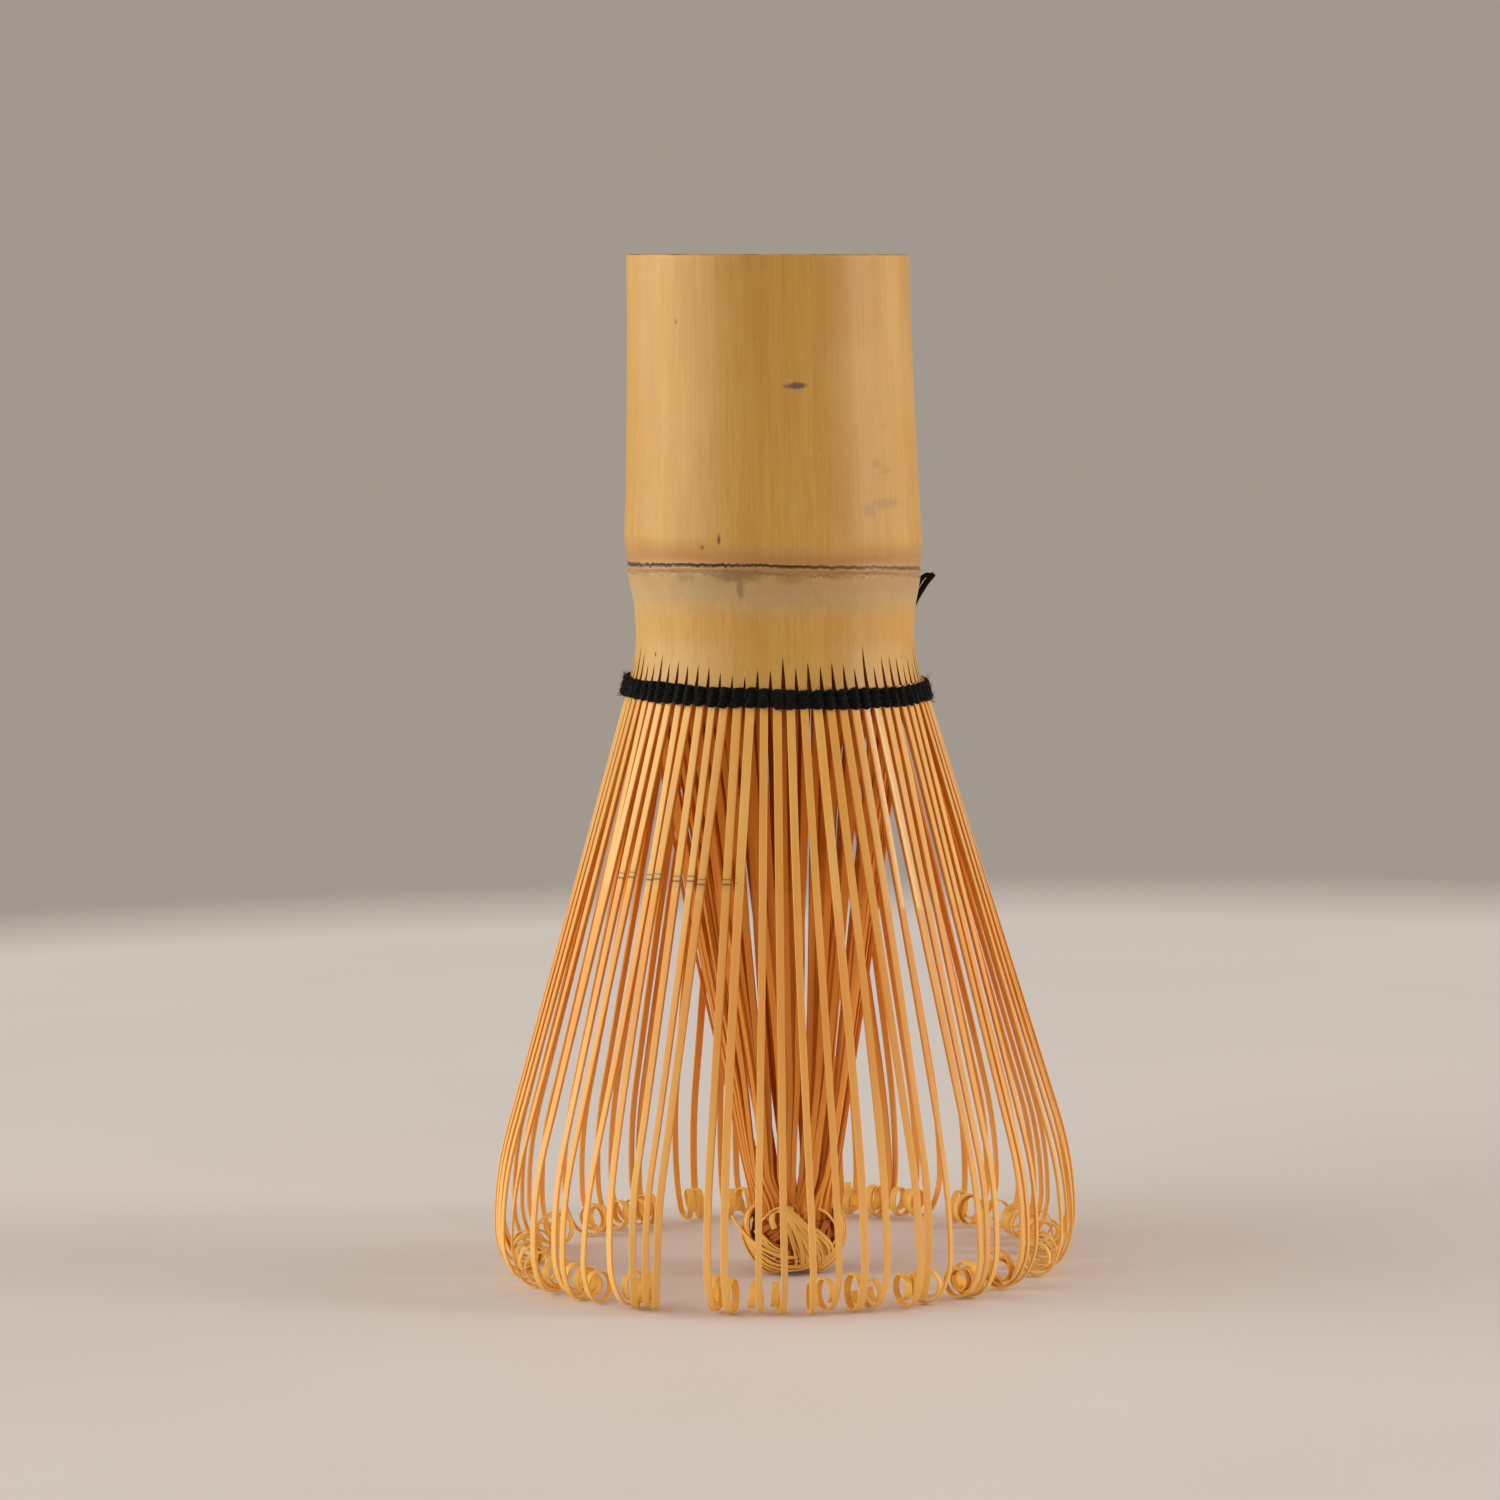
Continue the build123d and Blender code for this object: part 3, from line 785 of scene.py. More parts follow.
def build_culm():
    """The handle and the tine roots: one split culm."""
    draw = random.Random(SEED)
    tops = [split_height(boundary, draw) for boundary in range(TINE_COUNT)]
    builder = MeshBuilder()
    culm_outside(builder, tops)
    rim = [(RIM_RADIUS - RIM_ROUNDING - (2.7 * i / 8), HEIGHT - 0.02 * (i % 2)) for i in range(9)]
    turned(builder, rim + [(BORE_RADIUS + 0.06, HEIGHT - 0.18)], 2)
    bore = [(BORE_RADIUS + 0.06, HEIGHT - 0.18), (BORE_RADIUS, HEIGHT - 0.8)]
    bore += [(BORE_RADIUS - 0.03 * math.sin(i * 0.8), 102 - 2.6 * i) for i in range(10)]
    bore += [(BORE_RADIUS - 0.15, SEPTUM_TOP + 0.9), (BORE_RADIUS - 0.7, SEPTUM_TOP + 0.25)]
    radii = (10.0, 8.0, 6.0, 4.0, 2.0, 0.6, 0.02)
    septum = [(r, SEPTUM_TOP - 0.35 * math.cos(r * 0.35)) for r in radii]
    turned(builder, bore + septum, 3)
    under = [(0.02, SEPTUM_BOTTOM), (6.0, SEPTUM_BOTTOM + 0.1), (10.4, SEPTUM_BOTTOM), (11.3, 72.9)]
    turned(builder, under + [(11.8, 70.0), (12.3, 67.5), (12.6, SPLIT_START)], 3)
    materials = [
        culm_skin(),
        shaded_split_flesh(),
        culm_cut("bamboo_cut_rim", RIM_TAN, 0.8),
        culm_cut("bamboo_inner_wall", BORE_TAN, 0.15),
    ]
    piece = builder.build("culm", materials, sharp_degrees=50, weld=0.002)
    stand_in(piece, "bamboo_culm", "handle_culm", "outer_tine_roots")


# ---------------------------------------------------------------- outer tines

# How far each front tine's foot leans sideways, in degrees, from tine -15 to tine 16
FRONT_LEANS = (
    -5, -3, -4, 0, -3, -2, -4, -4, -1.5, -1, -4, -6.5, -1, -2.5, -1, -1,
    -0.5, -0.5, -1, -1.5, 0, -3, -2.5, -0.5, -4, -7.5, -3.5, -7, -10.5, -2.5, -3.5, -3,
)
FIRST_FRONT_TINE = -15
TINE_TOP = ROW_TOP - 0.6
TINE_TOP_WIDTH = 0.88
TINE_FOOT_WIDTH = 0.70
SHOULDER_BEND = 36.9
SHOULDER_END = 4.83
FLARE_ANGLE = math.radians(FLARE_DEGREES)


def tine_lean(tine, draw):
    """Sideways lean of a tine's foot, in degrees: set at the front, drawn elsewhere."""
    index = tine if tine <= TINE_COUNT // 2 else tine - TINE_COUNT
    drawn = draw.gauss(-1.0, 1.6)
    if 0 <= index - FIRST_FRONT_TINE < len(FRONT_LEANS):
        return FRONT_LEANS[index - FIRST_FRONT_TINE]
    return drawn


def tine_profile(draw):
    """Radius, height and outward direction down one tine, from under the thread to its tip."""
    foot = 2.3 * draw.uniform(0.85, 1.15)
    curl = 1.72 * draw.uniform(0.88, 1.12)
    turns = draw.uniform(330, 560)
    arcs = [(SHOULDER_BEND, FLARE_DEGREES, 3.0), (7.0, 30, 5.0), (foot, 60, 7.5)]
    tighten = draw.uniform(0.985, 0.993)
    step = 10.0
    for _ in range(int(turns / step)):
        arcs.append((curl, step, step))
        curl = max(curl * tighten, 1.15)
    bend_start = SHOULDER_END + SHOULDER_BEND * math.sin(FLARE_ANGLE)
    heights = np.linspace(TINE_TOP, bend_start, 15)
    r = list(flare_radius(heights))
    z = list(heights)
    headings = [-FLARE_ANGLE] * len(z)
    heading = -FLARE_ANGLE
    for radius, degrees, resolution in arcs:
        steps = max(1, round(degrees / resolution))
        for _ in range(steps):
            centre_r = r[-1] - math.cos(heading) * radius
            centre_z = z[-1] + math.sin(heading) * radius
            heading += math.radians(degrees / steps)
            r.append(centre_r + math.cos(heading) * radius)
            z.append(centre_z - math.sin(heading) * radius)
            headings.append(heading)
    return np.array(r), np.array(z), np.array(headings)


def outer_tine(builder, tine, draw, lean):
    """One outer tine: flare, bend, foot and curl, with its own lean, twist and drift."""
    r, z, heading = tine_profile(draw)
    flare = draw.gauss(0, 0.35)
    lift = abs(draw.gauss(0, 0.12))
    twist = math.radians(draw.gauss(0, 11) - 0.8 * lean)
    drift = draw.choice((-1, 1)) * draw.uniform(0.25, 1.0)
    bow = draw.gauss(0, 0.25)
    width_scale = draw.uniform(0.9, 1.08)
    along = distance_along(np.stack([r, z], axis=1))
    low = TINE_THICKNESS / 2 + 0.03 + lift
    z = HINGE_HEIGHT + (z - HINGE_HEIGHT) * (HINGE_HEIGHT - low) / (HINGE_HEIGHT - z.min())
    foot = int(np.argmin(z))
    part = along / along[foot]
    to_foot = np.minimum(part, 1)
    r = r + flare * to_foot**1.2
    reach = r.max() * math.radians(lean)
    sideways = reach * to_foot**1.15 + bow * np.sin(math.pi * to_foot)
    curled = np.maximum((np.degrees(heading) - 60) / 360, 0)
    sideways = sideways + drift * curled
    turned_by = twist * smooth_step(-z, -18, -4) * (along > 20)
    turned_by[foot:] = twist
    peak = int(np.argmax(r[:foot]))
    arm = r - r[peak]
    local_r = np.where(along > 20, r[peak] + arm * np.cos(turned_by), r)
    local_t = sideways + arm * np.sin(turned_by)
    outward, across = turn(tine * PITCH)
    path = local_r[:, None] * outward + local_t[:, None] * across
    path[:, 2] = z
    facing = np.cos(turned_by)[:, None] * outward + np.sin(turned_by)[:, None] * across
    normal = np.cos(heading)[:, None] * facing
    normal[:, 2] = -np.sin(heading)
    width = width_scale * (TINE_TOP_WIDTH + (TINE_FOOT_WIDTH - TINE_TOP_WIDTH) * to_foot)
    tip = smooth_step(along[-1] - along, 0, 1.2)
    shaved = 1.25 - 0.45 * smooth_step(part, 0.0, 0.75) - 0.42 * smooth_step(part, 0.80, 1.10)
    thickness = TINE_THICKNESS * shaved * (0.6 + 0.4 * tip)
    width = width * (0.75 + 0.25 * tip) * (1 + 0.14 * smooth_step(part, 1.0, 1.12))
    ribbon(builder, path, normal, width, thickness, tine * 1.37 + 0.5, chamfer=0.06, crown=0.02)


def build_outer_tines():
    """One piece for each sector of four tines."""
    skin = tine_skin("outer_tine_skin", (TINE_GOLD, TINE_ORANGE), polished=True)
    materials = [skin, tine_flesh("tine_flesh", curled=True)]
    draw = random.Random(SEED + 1)
    leans = [tine_lean(tine, draw) for tine in range(TINE_COUNT)]
    for number, body in enumerate(SECTORS):
        builder = MeshBuilder()
        for step in range(TINES_PER_SECTOR):
            tine = (number * TINES_PER_SECTOR - 1 + step) % TINE_COUNT
            outer_tine(builder, tine, draw, leans[tine])
        piece = builder.build(f"tines_sector_{number + 1:02d}", materials, sharp_degrees=30)
        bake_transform(piece)
        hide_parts(f"outer_tines_{number + 1:02d}")


# ---------------------------------------------------------------- inner tines and the bun

BUN_LOW, BUN_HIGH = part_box("tip_bun")
BUN_X = (BUN_LOW[0] + BUN_HIGH[0]) / 2 / MM
BUN_Y = (BUN_LOW[1] + BUN_HIGH[1]) / 2 / MM
BUN_MIDDLE = 3.75
BUN_RADIUS = 5.1
BUN_HALF_HEIGHT = 3.3
LOWEST_TIP = 0.26
CORE_OF_BUN = 0.73
INNER_TOP = 64.0
INNER_END = 3.4
INNER_PROFILE = (
    (64.0, 14.0), (61.0, 13.7), (58.0, 13.1), (50.0, 11.6), (38.0, 9.7), (30.0, 8.3), (22.0, 6.8),
    (15.0, 5.5), (10.0, 4.6), (7.6, 4.2), (5.5, 4.0), (3.4, 3.4),
)
INNER_GROUPS = 6
BUNDLES = 15
BUN_WIND = 9
BUN_HAIRS = 16


def bundle_centres(draw):
    """Azimuths that neighbouring inner tines gather towards."""
    spacing = 360.0 / BUNDLES
    return [i * spacing + draw.gauss(0, 4.0) for i in range(BUNDLES)]


def inner_tine(builder, tine, centres, draw):
    """One inner tine, gathering into a bundle on its way down into the bun."""
    z = np.concatenate([np.linspace(INNER_TOP, 12.0, 22), np.linspace(10.5, INNER_END, 7)])
    part = (INNER_TOP - z) / (INNER_TOP - INNER_END)
    r = smooth_curve(INNER_PROFILE, z)
    own = (tine + 0.5) * PITCH
    nearest = min(centres, key=lambda centre: abs((centre - own + 180) % 360 - 180))
    pull = (nearest - own + 180) % 360 - 180
    gather = draw.uniform(0.15, 0.55) * smooth_step(part, 0.25, 0.75)
    gather = gather * (1 - 0.5 * smooth_step(part, 0.8, 1))
    swell = draw.gauss(0, 0.30) + (0.22 if tine % 2 else -0.22)
    stray = draw.gauss(0, 1.6)
    wave = draw.uniform(0, 6.28)
    r = r + swell * np.sin(math.pi * part) + 0.10 * np.sin(7 * part + wave) * part
    faces_front = max(0.0, math.cos(math.radians(own))) ** 2
    r = r * (1 - 0.5 * faces_front * smooth_step(-z, -11.0, -6.5))
    wind = -BUN_WIND * smooth_step(-z, -22, -5)
    azimuth = own + pull * gather + stray * np.sin(math.pi * part) * 1.2 + wind
    angle = np.radians(azimuth)
    outward = polar(1.0, angle, 0.0)
    path = outward * r[:, None]
    path[:, 0] += BUN_X * part
    path[:, 1] += BUN_Y * part
    path[:, 2] = z
    twist = np.radians(draw.gauss(0, 10) * np.sin(math.pi * part))
    side = np.stack([np.cos(angle), np.sin(angle), 0 * angle], axis=1)
    normal = outward * np.cos(twist)[:, None] + side * np.sin(twist)[:, None]
    width = (0.94 - 0.50 * part) * draw.uniform(0.88, 1.12)
    ribbon(builder, path, normal, width, 0.36 - 0.10 * part, 100 + tine * 1.73)


def build_inner_tines():
    """Six pieces of twelve inner tines. They hardly move, so they stay with the core."""
    skin = tine_skin("inner_tine_skin", (INNER_ORANGE, INNER_STEAMED))
    materials = [skin, tine_flesh("inner_flesh")]
    draw = random.Random(SEED + 2)
    centres = bundle_centres(draw)
    per_group = TINE_COUNT // INNER_GROUPS
    nodes_per_group = len(SECTORS) // INNER_GROUPS
    for group in range(INNER_GROUPS):
        builder = MeshBuilder()
        for step in range(per_group):
            inner_tine(builder, group * per_group - 1 + step, centres, draw)
        piece = builder.build(f"inner_tines_group_{group + 1}", materials, sharp_degrees=30)
        numbers = range(group * nodes_per_group + 1, (group + 1) * nodes_per_group + 1)
        stand_in(piece, "bamboo_tine", *(f"inner_tines_{number:02d}" for number in numbers))


def on_bun(direction, size):
    """Points on the bun's full-cheeked oval along unit directions, and their outward normals."""
    level = np.hypot(direction[:, 0], direction[:, 1])
    fuller = np.maximum(level, 1e-6) ** 0.5 * BUN_RADIUS / np.maximum(level, 1e-6)
    stretch = np.stack([fuller, fuller, np.full_like(level, BUN_HALF_HEIGHT)], axis=1)
    point = direction * stretch * np.broadcast_to(size, level.shape)[:, None]
    point = point + (BUN_X, BUN_Y, BUN_MIDDLE)
    normal = direction / (BUN_RADIUS, BUN_RADIUS, BUN_HALF_HEIGHT)
    return point, unit(normal)


def facing(azimuth, latitude):
    """Unit vectors (outward, right, up) of a place on the bun."""
    outward, side = turn(azimuth)
    lift = math.radians(latitude)
    axis = outward * math.cos(lift) + np.array([0.0, 0.0, math.sin(lift)])
    return axis, side, np.cross(side, axis)


def wound_tip(builder, tine, draw):
    """The end of one inner tine, wound down and under the bun."""
    part = np.linspace(0, 1, 18)
    reach = draw.uniform(50, 110)
    start = (tine + 0.5) * PITCH - BUN_WIND + draw.gauss(0, 3)
    azimuth = np.radians(start - reach * part**0.85)
    latitude = np.radians(40 - draw.uniform(95, 118) * part ** draw.uniform(0.9, 1.25))
    direction = polar(np.cos(latitude), azimuth, np.sin(latitude))
    size = draw.uniform(0.78, 0.88) + 0.02 * np.sin(part * 9 + tine) + 0.09 * part**2
    point, normal = on_bun(direction, size)
    width = 0.42 - 0.06 * part
    # Painted shade: every wound tip takes the darker "depth" material.
    ribbon(builder, point, normal, width, 0.24, 300 + tine * 1.19, sides=(2, 2))


def whorl(builder, place, spread, sweep, count, draw, size):
    """A hank of tips curling side by side round one place on the bun.

    place is (azimuth, latitude), spread the nearest and furthest strand from it in degrees, and
    sweep the angles where the strands start and end, seen from outside: 0 right, 90 up.
    """
    axis, right, up = facing(*place)
    for number in range(count):
        part = np.linspace(0, 1, 26)
        away = spread[0] + (spread[1] - spread[0]) * (number + 0.5) / count + draw.gauss(0, 1.6)
        away = np.radians(away + draw.uniform(-5, 5) * part)
        start = sweep[0] + draw.gauss(0, 12)
        end = sweep[1] + draw.gauss(0, 14)
        angle = np.radians(start + (end - start) * part)
        ring = np.cos(angle)[:, None] * right + np.sin(angle)[:, None] * up
        direction = np.cos(away)[:, None] * axis + np.sin(away)[:, None] * ring
        direction[:, 2] = np.clip(direction[:, 2], -0.97, 0.99)
        direction = unit(direction)
        tuck = 0.16 * (smooth_step(0.16 - part, 0, 0.16) + smooth_step(part, 0.84, 1))
        height = size + draw.uniform(-0.015, 0.035) + 0.012 * np.sin(part * 8 + number) - tuck
        point, normal = on_bun(direction, height)
        tilt = math.radians(draw.gauss(0, 16))
        tangent = unit(np.gradient(point, axis=0))
        normal = normal * math.cos(tilt) + np.cross(tangent, normal) * math.sin(tilt)
        width = draw.uniform(0.36, 0.52) * (1 - 0.25 * part)
        ribbon(builder, point, normal, width, 0.2, 400 + number * 2.3 + place[0])


def hank(builder, knots, count, spread, width, number, draw, thickness=0.14):
    """Tips side by side along a route of (azimuth, radius, height) places round the bun.

    spread is how far the tips lie apart at the start and at the end, from the first to the last.
    """
    azimuth, r, z = np.array(knots, float).T
    corners = polar(r, np.radians(azimuth), z) + (BUN_X, BUN_Y, 0)
    middle = spline(corners, 7 * len(knots))
    outward = unit(middle - (BUN_X, BUN_Y, BUN_MIDDLE))
    across = unit(np.cross(np.gradient(middle, axis=0), outward))
    part = np.linspace(0, 1, len(middle))
    apart = spread[0] + (spread[1] - spread[0]) * part
    for tip in range(count):
        place = (tip + 0.5) / count - 0.5
        shift = apart * (place + draw.gauss(0, 0.05)) + 0.05 * np.sin(part * 6 + 2.1 * tip)
        deep = draw.uniform(-0.24, 0.12) if count > 1 else 0.08
        lift = deep + 0.04 * np.sin(part * 8 + 1.7 * tip) - 0.25 * smooth_step(part, 0.88, 1)
        path = middle + across * shift[:, None] + outward * lift[:, None]
        path[:, 2] = np.maximum(path[:, 2], LOWEST_TIP)
        tilt = math.radians(draw.gauss(0, 14))
        normal = outward * math.cos(tilt) + across * math.sin(tilt)
        wide = width * draw.uniform(0.8, 1.15) * (1 - 0.25 * part)
        # Painted shade: tips lying deep take the darker "depth" material.
        sides = (2, 2) if deep < -0.14 else (0, 1)
        fibre_id = 500 + 7.3 * number + 1.9 * tip
        ribbon(builder, path, normal, wide, thickness, fibre_id, sides=sides)


# Coils of tips at the back: (azimuth, latitude), nearest and furthest tip, start and end angle,
# number of tips, size
WHORLS = (
    ((-130, 0), (10, 58), (60, 300), 13, 0.98),
    ((130, -2), (10, 60), (130, -130), 13, 0.98),
    ((180, 4), (12, 56), (170, -70), 12, 1.0),
    ((10, 88), (38, 60), (-160, 10), 4, 0.95),
)
# Hanks of tips at the front: the route, the number of tips, their spread and a tip's width
LEFT_CHEEK = ((-90, 3.7, 7.1), (-82, 4.7, 6.3), (-74, 5.25, 5.2), (-68, 5.35, 3.9), (-60, 5.0, 2.6),
              (-46, 4.4, 1.3), (-26, 3.7, 0.5))
RIGHT_CHEEK = ((92, 2.9, 7.2), (82, 4.2, 6.8), (78, 5.0, 5.7), (74, 5.25, 4.4), (68, 5.1, 3.2),
               (58, 4.7, 2.1), (44, 4.1, 1.2), (26, 3.4, 0.55))
ARCH = ((-29, 4.4, 5.0), (-36, 4.1, 6.0), (-38, 3.3, 6.7), (-22, 3.2, 6.95), (-4, 3.8, 6.7),
        (9, 4.7, 5.9), (19, 5.2, 4.9), (29, 5.25, 3.9), (39, 5.0, 2.8), (46, 4.5, 1.7), (50, 3.8, 1.0))
HANKS = (
    (LEFT_CHEEK, 13, (1.6, 2.6), 0.36),
    (RIGHT_CHEEK, 12, (1.3, 2.4), 0.36),
    (ARCH, 5, (0.5, 1.1), 0.38),
    (((-58, 4.3, 5.4), (-48, 4.2, 6.1), (-38, 3.6, 6.9), (-20, 3.1, 7.2), (0, 3.0, 7.1)),
     2, (0.3, 0.3), 0.24),
    (((-10, 3.4, 6.7), (1, 4.9, 5.4), (8, 5.25, 3.7), (13, 4.9, 2.1), (16, 4.1, 0.9)),
     2, (0.5, 1.0), 0.50),
    (((-14, 3.9, 6.5), (0, 4.7, 5.6), (9, 5.1, 4.6), (17, 5.15, 3.4), (24, 4.8, 2.2), (29, 4.1, 1.1)),
     3, (0.6, 1.4), 0.45),
    (((-12, 3.6, 6.3), (-5, 4.9, 4.9), (0, 5.1, 3.4), (4, 4.8, 2.0), (4, 4.0, 0.9)),
     2, (0.4, 0.7), 0.32),
    (((-56, 4.8, 4.9), (-44, 4.75, 4.1), (-33, 4.8, 3.4), (-20, 4.85, 2.9), (-6, 4.8, 2.5)),
     4, (0.6, 1.1), 0.32),
    (((-70, 5.2, 4.2), (-50, 5.1, 3.2), (-34, 4.9, 2.5), (-18, 4.7, 1.9), (0, 4.4, 1.7)),
     3, (0.5, 0.9), 0.32),
    (((48, 3.4, 6.9), (58, 4.2, 6.2), (64, 4.8, 5.0), (64, 4.8, 3.8)), 3, (0.4, 0.9), 0.30),
    (((25, 4.9, 4.9), (33, 5.4, 4.2), (42, 5.4, 3.2), (49, 4.9, 2.2)), 2, (0.9, 1.0), 0.42),
    (((-85, 6.4, 5.9), (-72, 5.75, 4.8), (-50, 5.35, 3.6), (-36, 5.2, 3.0), (-22, 5.1, 2.5),
      (-7, 5.0, 2.3), (8, 4.75, 2.2)), 1, (0, 0), 0.36),
    (((-50, 4.7, 2.1), (-30, 4.3, 1.2), (-6, 4.1, 0.85), (18, 4.1, 1.0), (36, 4.3, 1.6)),
     5, (1.0, 1.2), 0.34),
    (((-88, 4.2, 6.4), (-95, 5.1, 5.2), (-98, 5.3, 3.8), (-95, 4.9, 2.4), (-84, 4.1, 1.2)),
     8, (1.6, 2.4), 0.38),
    (((150, 6.0, 4.2), (138, 5.6, 3.2), (122, 5.2, 2.2), (110, 4.6, 1.2)), 1, (0, 0), 0.38),
    (((-130, 5.9, 3.0), (-142, 5.6, 3.9), (-156, 5.2, 4.9), (-168, 4.5, 5.8)), 1, (0, 0), 0.38),
)


def build_bun():
    """The twisted tips: wound ends, coils and hanks passed over them, hairs and a shaded core."""
    materials = [tine_skin(f"bun_{name}", (tint, tint)) for name, tint in BUN_TINTS]
    draw = random.Random(SEED + 3)
    builder = MeshBuilder()
    for tine in range(TINE_COUNT):
        wound_tip(builder, tine, draw)
    for place, spread, sweep, count, size in WHORLS:
        whorl(builder, place, spread, sweep, count, draw, size)
    for number, (knots, count, spread, width) in enumerate(HANKS):
        hank(builder, knots, count, spread, width, number, draw)
    for number in range(BUN_HAIRS):
        azimuth = draw.uniform(0, 360)
        lean = draw.uniform(-14, 14)
        rise = draw.uniform(0.3, 1.1)
        knots = ((azimuth, 4.5, 6.3), (azimuth + lean, 4.9, 6.6 + rise), (azimuth + 2 * lean, 5.1, 6.9))
        hank(builder, knots, 1, (0, 0), 0.07, 20 + number, draw, thickness=0.04)
    rings, columns = 17, 28
    latitude = np.radians(np.linspace(-86, 86, rings))[:, None]
    azimuth = np.linspace(0, 2 * math.pi, columns, endpoint=False)[None]
    direction = polar(np.cos(latitude), azimuth, np.sin(latitude))
    point, _ = on_bun(direction.reshape(-1, 3), CORE_OF_BUN)
    # Painted shade: the core takes the darker "depth" material.
    builder.add_grid(point.reshape(direction.shape), direction, 2, around=True, capped=True)
    piece = builder.build("bun_of_tips", materials, sharp_degrees=30)
    stand_in(piece, "bamboo_tine", "tip_bun")


# ---------------------------------------------------------------- thread

ROUNDS = 3
ROUND_PITCH = 0.60
STEPS_PER_TINE = 8
HAIRS = 2400
TAIL_HAIRS = 60


def thread_height(round_number, turns):
    """Height of a round of thread, which climbs one pitch in its turn."""
    middle = (ROW_TOP + ROW_BOTTOM) / 2 + ROUND_PITCH * (round_number - 1)
    return middle + 0.10 * (turns - 0.5)


def twined_strand(builder, round_number, phase, draw):
    """One strand of a round. It passes outside one tine and inside the next."""
    count = TINE_COUNT * STEPS_PER_TINE
    tines = np.arange(count) / STEPS_PER_TINE
    weave = np.cos(math.pi * tines + phase)
    height = thread_height(round_number, tines / TINE_COUNT)
    height = height + 0.06 * np.sin(math.pi * tines + phase) + 0.05 * np.sin(tines * 0.9 + round_number)
    height = height + 0.05 * np.sin(tines * 3.7 + round_number * 2 + phase)
    shaped = np.sign(weave) * np.abs(weave) ** 0.9
    r = flare_radius(height) + 0.05 + 0.42 * shaped
    r = r + 0.05 * np.sin(tines * 2.1 + phase * 3 + round_number) + 0.03 * np.sin(tines * 4.9 + phase)
    angle = np.radians(tines * PITCH)
    path = polar(r, angle, height + ring_lean(r * np.sin(angle), height))
    bulge = 1 + 0.20 * np.cos(2 * math.pi * tines) + 0.08 * np.sin(tines * 5.3 + phase)
    radius = 0.262 * bulge + draw.uniform(-0.01, 0.01)
    tube(builder, path, radius, round_number * 2 + phase, sides=10, flat=1.5, looped=True)


def hair(builder, draw, number):
    """A fluff fibre standing off the thread."""
    outward, side = turn(draw.uniform(0, 360))
    height = draw.uniform(ROW_BOTTOM + 0.1, ROW_TOP)
    r = flare_radius(height) + 0.52
    length = draw.uniform(0.25, 0.80) * (1.7 if draw.random() < 0.12 else 1.0)
    lean = (draw.gauss(0, 1), draw.gauss(0, 1))
    part = np.linspace(0, 1, 5)[:, None]
    path = outward * (r + length * part * 0.65)
    path = path + (side * lean[0] * 0.5 + (0, 0, lean[1] * 0.55)) * length * part**1.5
    path[:, 2] += height + ring_lean(path[0, 0], height)
    tube(builder, path, np.linspace(0.022, 0.010, 5), number, sides=3, reference=(0.3, 0.2, 0.9))


def build_thread():
    """One piece for each round of thread, then its end."""
    material = thread_black()
    draw = random.Random(SEED + 4)
    for number, row in enumerate(("lower", "middle", "upper")):
        builder = MeshBuilder()
        for phase in (0.0, math.pi):
            twined_strand(builder, number, phase + number * math.pi, draw)
        for count in range(HAIRS // ROUNDS):
            hair(builder, draw, count)
        piece = builder.build(f"thread_round_{row}", [material])
        stand_in(piece, "thread", f"thread_row_{row}")
    build_thread_end(material)


def build_thread_end(material):
    """The knot on the upper round and the thread's two cut ends beside the neck."""
    low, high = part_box("thread_knot")
    centre = np.array([(low[i] + high[i]) / 2 / MM for i in range(3)])
    t = np.linspace(0, 2 * math.pi, 90, endpoint=False)
    loops = np.stack([
        (np.sin(t) + 2 * np.sin(2 * t)) * 0.22,
        (np.cos(t) - 2 * np.cos(2 * t)) * 0.22,
        -np.sin(3 * t) * 0.24,
    ], axis=1)
    outward, side = turn(56)
    knot = MeshBuilder()
    path = centre + loops[:, :1] * side + loops[:, 1:2] * np.array([0, 0, 1.0]) + loops[:, 2:] * outward
    tube(knot, path, 0.21, 7, reference=(0.2, 0.5, 0.8), looped=True)
    piece = knot.build("thread_end_knot", [material])
    stand_in(piece, "thread", "thread_knot")

    start = centre + (0, 0, 0.5)
    ends = MeshBuilder()
    long_end = spline([
        start, (13.5, 7.7, 64.6), (13.95, 6.0, 67.0), (14.8, 4.6, 69.0), (15.8, 3.7, 70.7),
        (16.6, 3.2, 71.7),
    ], 44)
    short_end = spline([
        start + (-0.2, 0.3, 0), (13.2, 8.4, 65.4), (13.75, 6.6, 68.2), (14.95, 4.8, 70.4),
        (15.5, 4.2, 71.3), (16.0, 3.7, 71.6), (16.5, 3.4, 71.45),
    ], 50)
    for number, path in enumerate((long_end, short_end)):
        tube(ends, path, 0.25 if number else 0.30, 8 + number, reference=(0.9, 0.3, 0.1))
    draw = random.Random(SEED + 5)
    for count in range(TAIL_HAIRS):
        root = draw.choice((long_end, short_end))[draw.randrange(20, 40)]
        away = np.array([draw.gauss(0, 0.3), draw.gauss(0, 0.3), draw.gauss(0, 0.3)])
        part = np.linspace(0, 1, 4)[:, None]
        radius = np.linspace(0.014, 0.007, 4)
        tube(ends, root + away * part, radius, count, sides=3, reference=(0.2, 0.9, 0.3))
    piece = ends.build("thread_cut_ends", [material])
    stand_in(piece, "thread", "thread_tail")


# ---------------------------------------------------------------- stage, light and camera

# In metres: the floor is solid out to the first radius, and gone at the second
FLOOR_SOLID = 0.285
FLOOR_END = 0.345
FLOOR_SIDES = 96
WALL = (0.36, 0.315, 0.275)
TABLE = (0.79, 0.73, 0.735)
LAMP_AIM = 0.06
LAMP_ELEVATION = 18


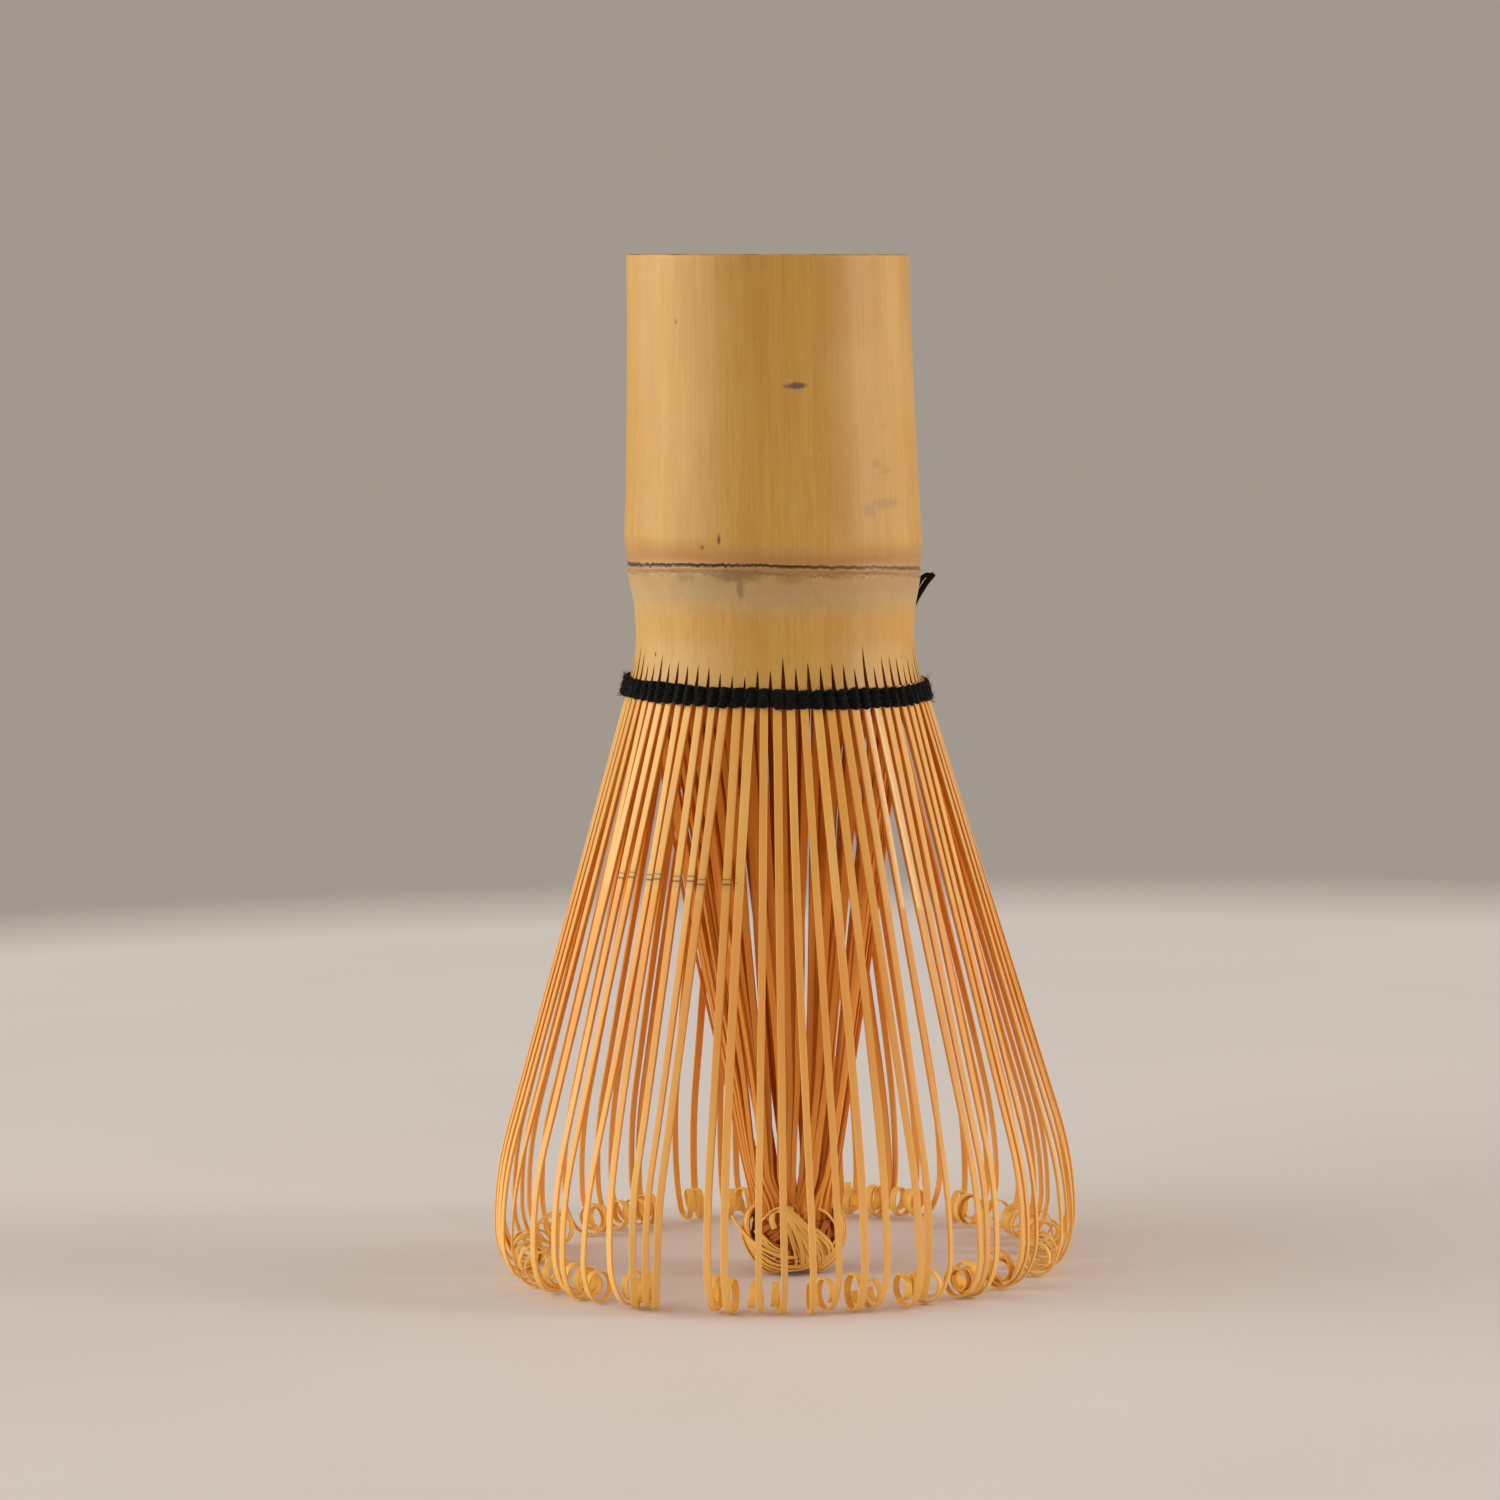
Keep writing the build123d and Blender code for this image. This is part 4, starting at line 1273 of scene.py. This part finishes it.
def build_stage():
    """A plain pale table top whose far edge melts into the wall colour."""
    n = Nodes("pale_table")
    x, y, _ = n.split(n.place())
    distance = n.math("SQRT", n.plus(n.times(x, x), n.times(y, y)))
    span = FLOOR_END - FLOOR_SOLID
    fade = n.over(n.minus(FLOOR_END, distance), span, clamp=True)
    n.link(fade, n.shader.inputs["Alpha"])
    mottle = n.noise(n.place(), (9, 9, 9), detail=3.0)
    colour = n.tint(tuple(c * 0.96 for c in TABLE), TABLE, mottle, (0.35, 0.0), (0.65, 1.0))
    n.finish(colour, 0.55, specular=0.25)
    mesh = bpy.data.meshes.new("table")
    angles = np.linspace(0, 2 * math.pi, FLOOR_SIDES, endpoint=False)
    mesh.from_pydata(polar(FLOOR_END, angles, 0.0).tolist(), [], [tuple(range(FLOOR_SIDES))])
    mesh.materials.append(n.material)
    table = new_object("table", mesh)


def area_light(name, azimuth, distance, size, power, colour):
    """A window: a lamp at an azimuth from the front, aimed at the whisk's middle."""
    outward, _ = turn(azimuth)
    lift = math.radians(LAMP_ELEVATION)
    place = outward * distance * math.cos(lift) + (0, 0, LAMP_AIM + distance * math.sin(lift))
    light = bpy.data.lights.new(name, "AREA")
    light.shape = "RECTANGLE"
    light.size, light.size_y = size
    light.energy = power
    light.color = colour
    lamp = new_object(name, light)
    lamp.location = place
    aim = Vector((0, 0, LAMP_AIM)) - Vector(place)
    lamp.rotation_euler = aim.to_track_quat("-Z", "Y").to_euler()


def build_lights():
    world = bpy.data.worlds.new("room")
    bpy.context.scene.world = world
    world.use_nodes = True
    world.node_tree.nodes["Background"].inputs[0].default_value = (*WALL, 1)
    area_light("window_left", -84, 1.6, (2.6, 1.3), 32.5, (0.95, 1.0, 0.90))
    area_light("window_right", 99, 1.6, (1.9, 1.3), 11.3, (1.0, 0.97, 0.82))
    area_light("window_gap", 77, 1.5, (0.30, 1.3), 8.0, (1.0, 0.96, 0.88))


CAMERA_DISTANCE = 0.552
CAMERA_HEIGHT = 0.1055
CAMERA_LEFT = 0.00285
CAMERA_PITCH = 5.33
CAMERA_ROLL = 1.18
CAMERA_LENS = 128.2


def build_camera():
    camera = bpy.data.cameras.new("camera")
    camera.sensor_width = 36
    camera.lens = CAMERA_LENS
    camera.clip_start = 0.01
    lens = new_object("camera", camera)
    lens.location = (-CAMERA_LEFT, -CAMERA_DISTANCE, CAMERA_HEIGHT)
    look = Euler((math.radians(90 - CAMERA_PITCH), 0, 0)).to_matrix()
    roll = Euler((0, 0, math.radians(-CAMERA_ROLL))).to_matrix()
    lens.rotation_euler = (look @ roll).to_euler()
    bpy.context.scene.camera = lens


build_culm()
build_outer_tines()
build_inner_tines()
build_bun()
build_thread()
build_stage()
build_lights()
build_camera()
bpy.context.scene.view_settings.view_transform = "Standard"
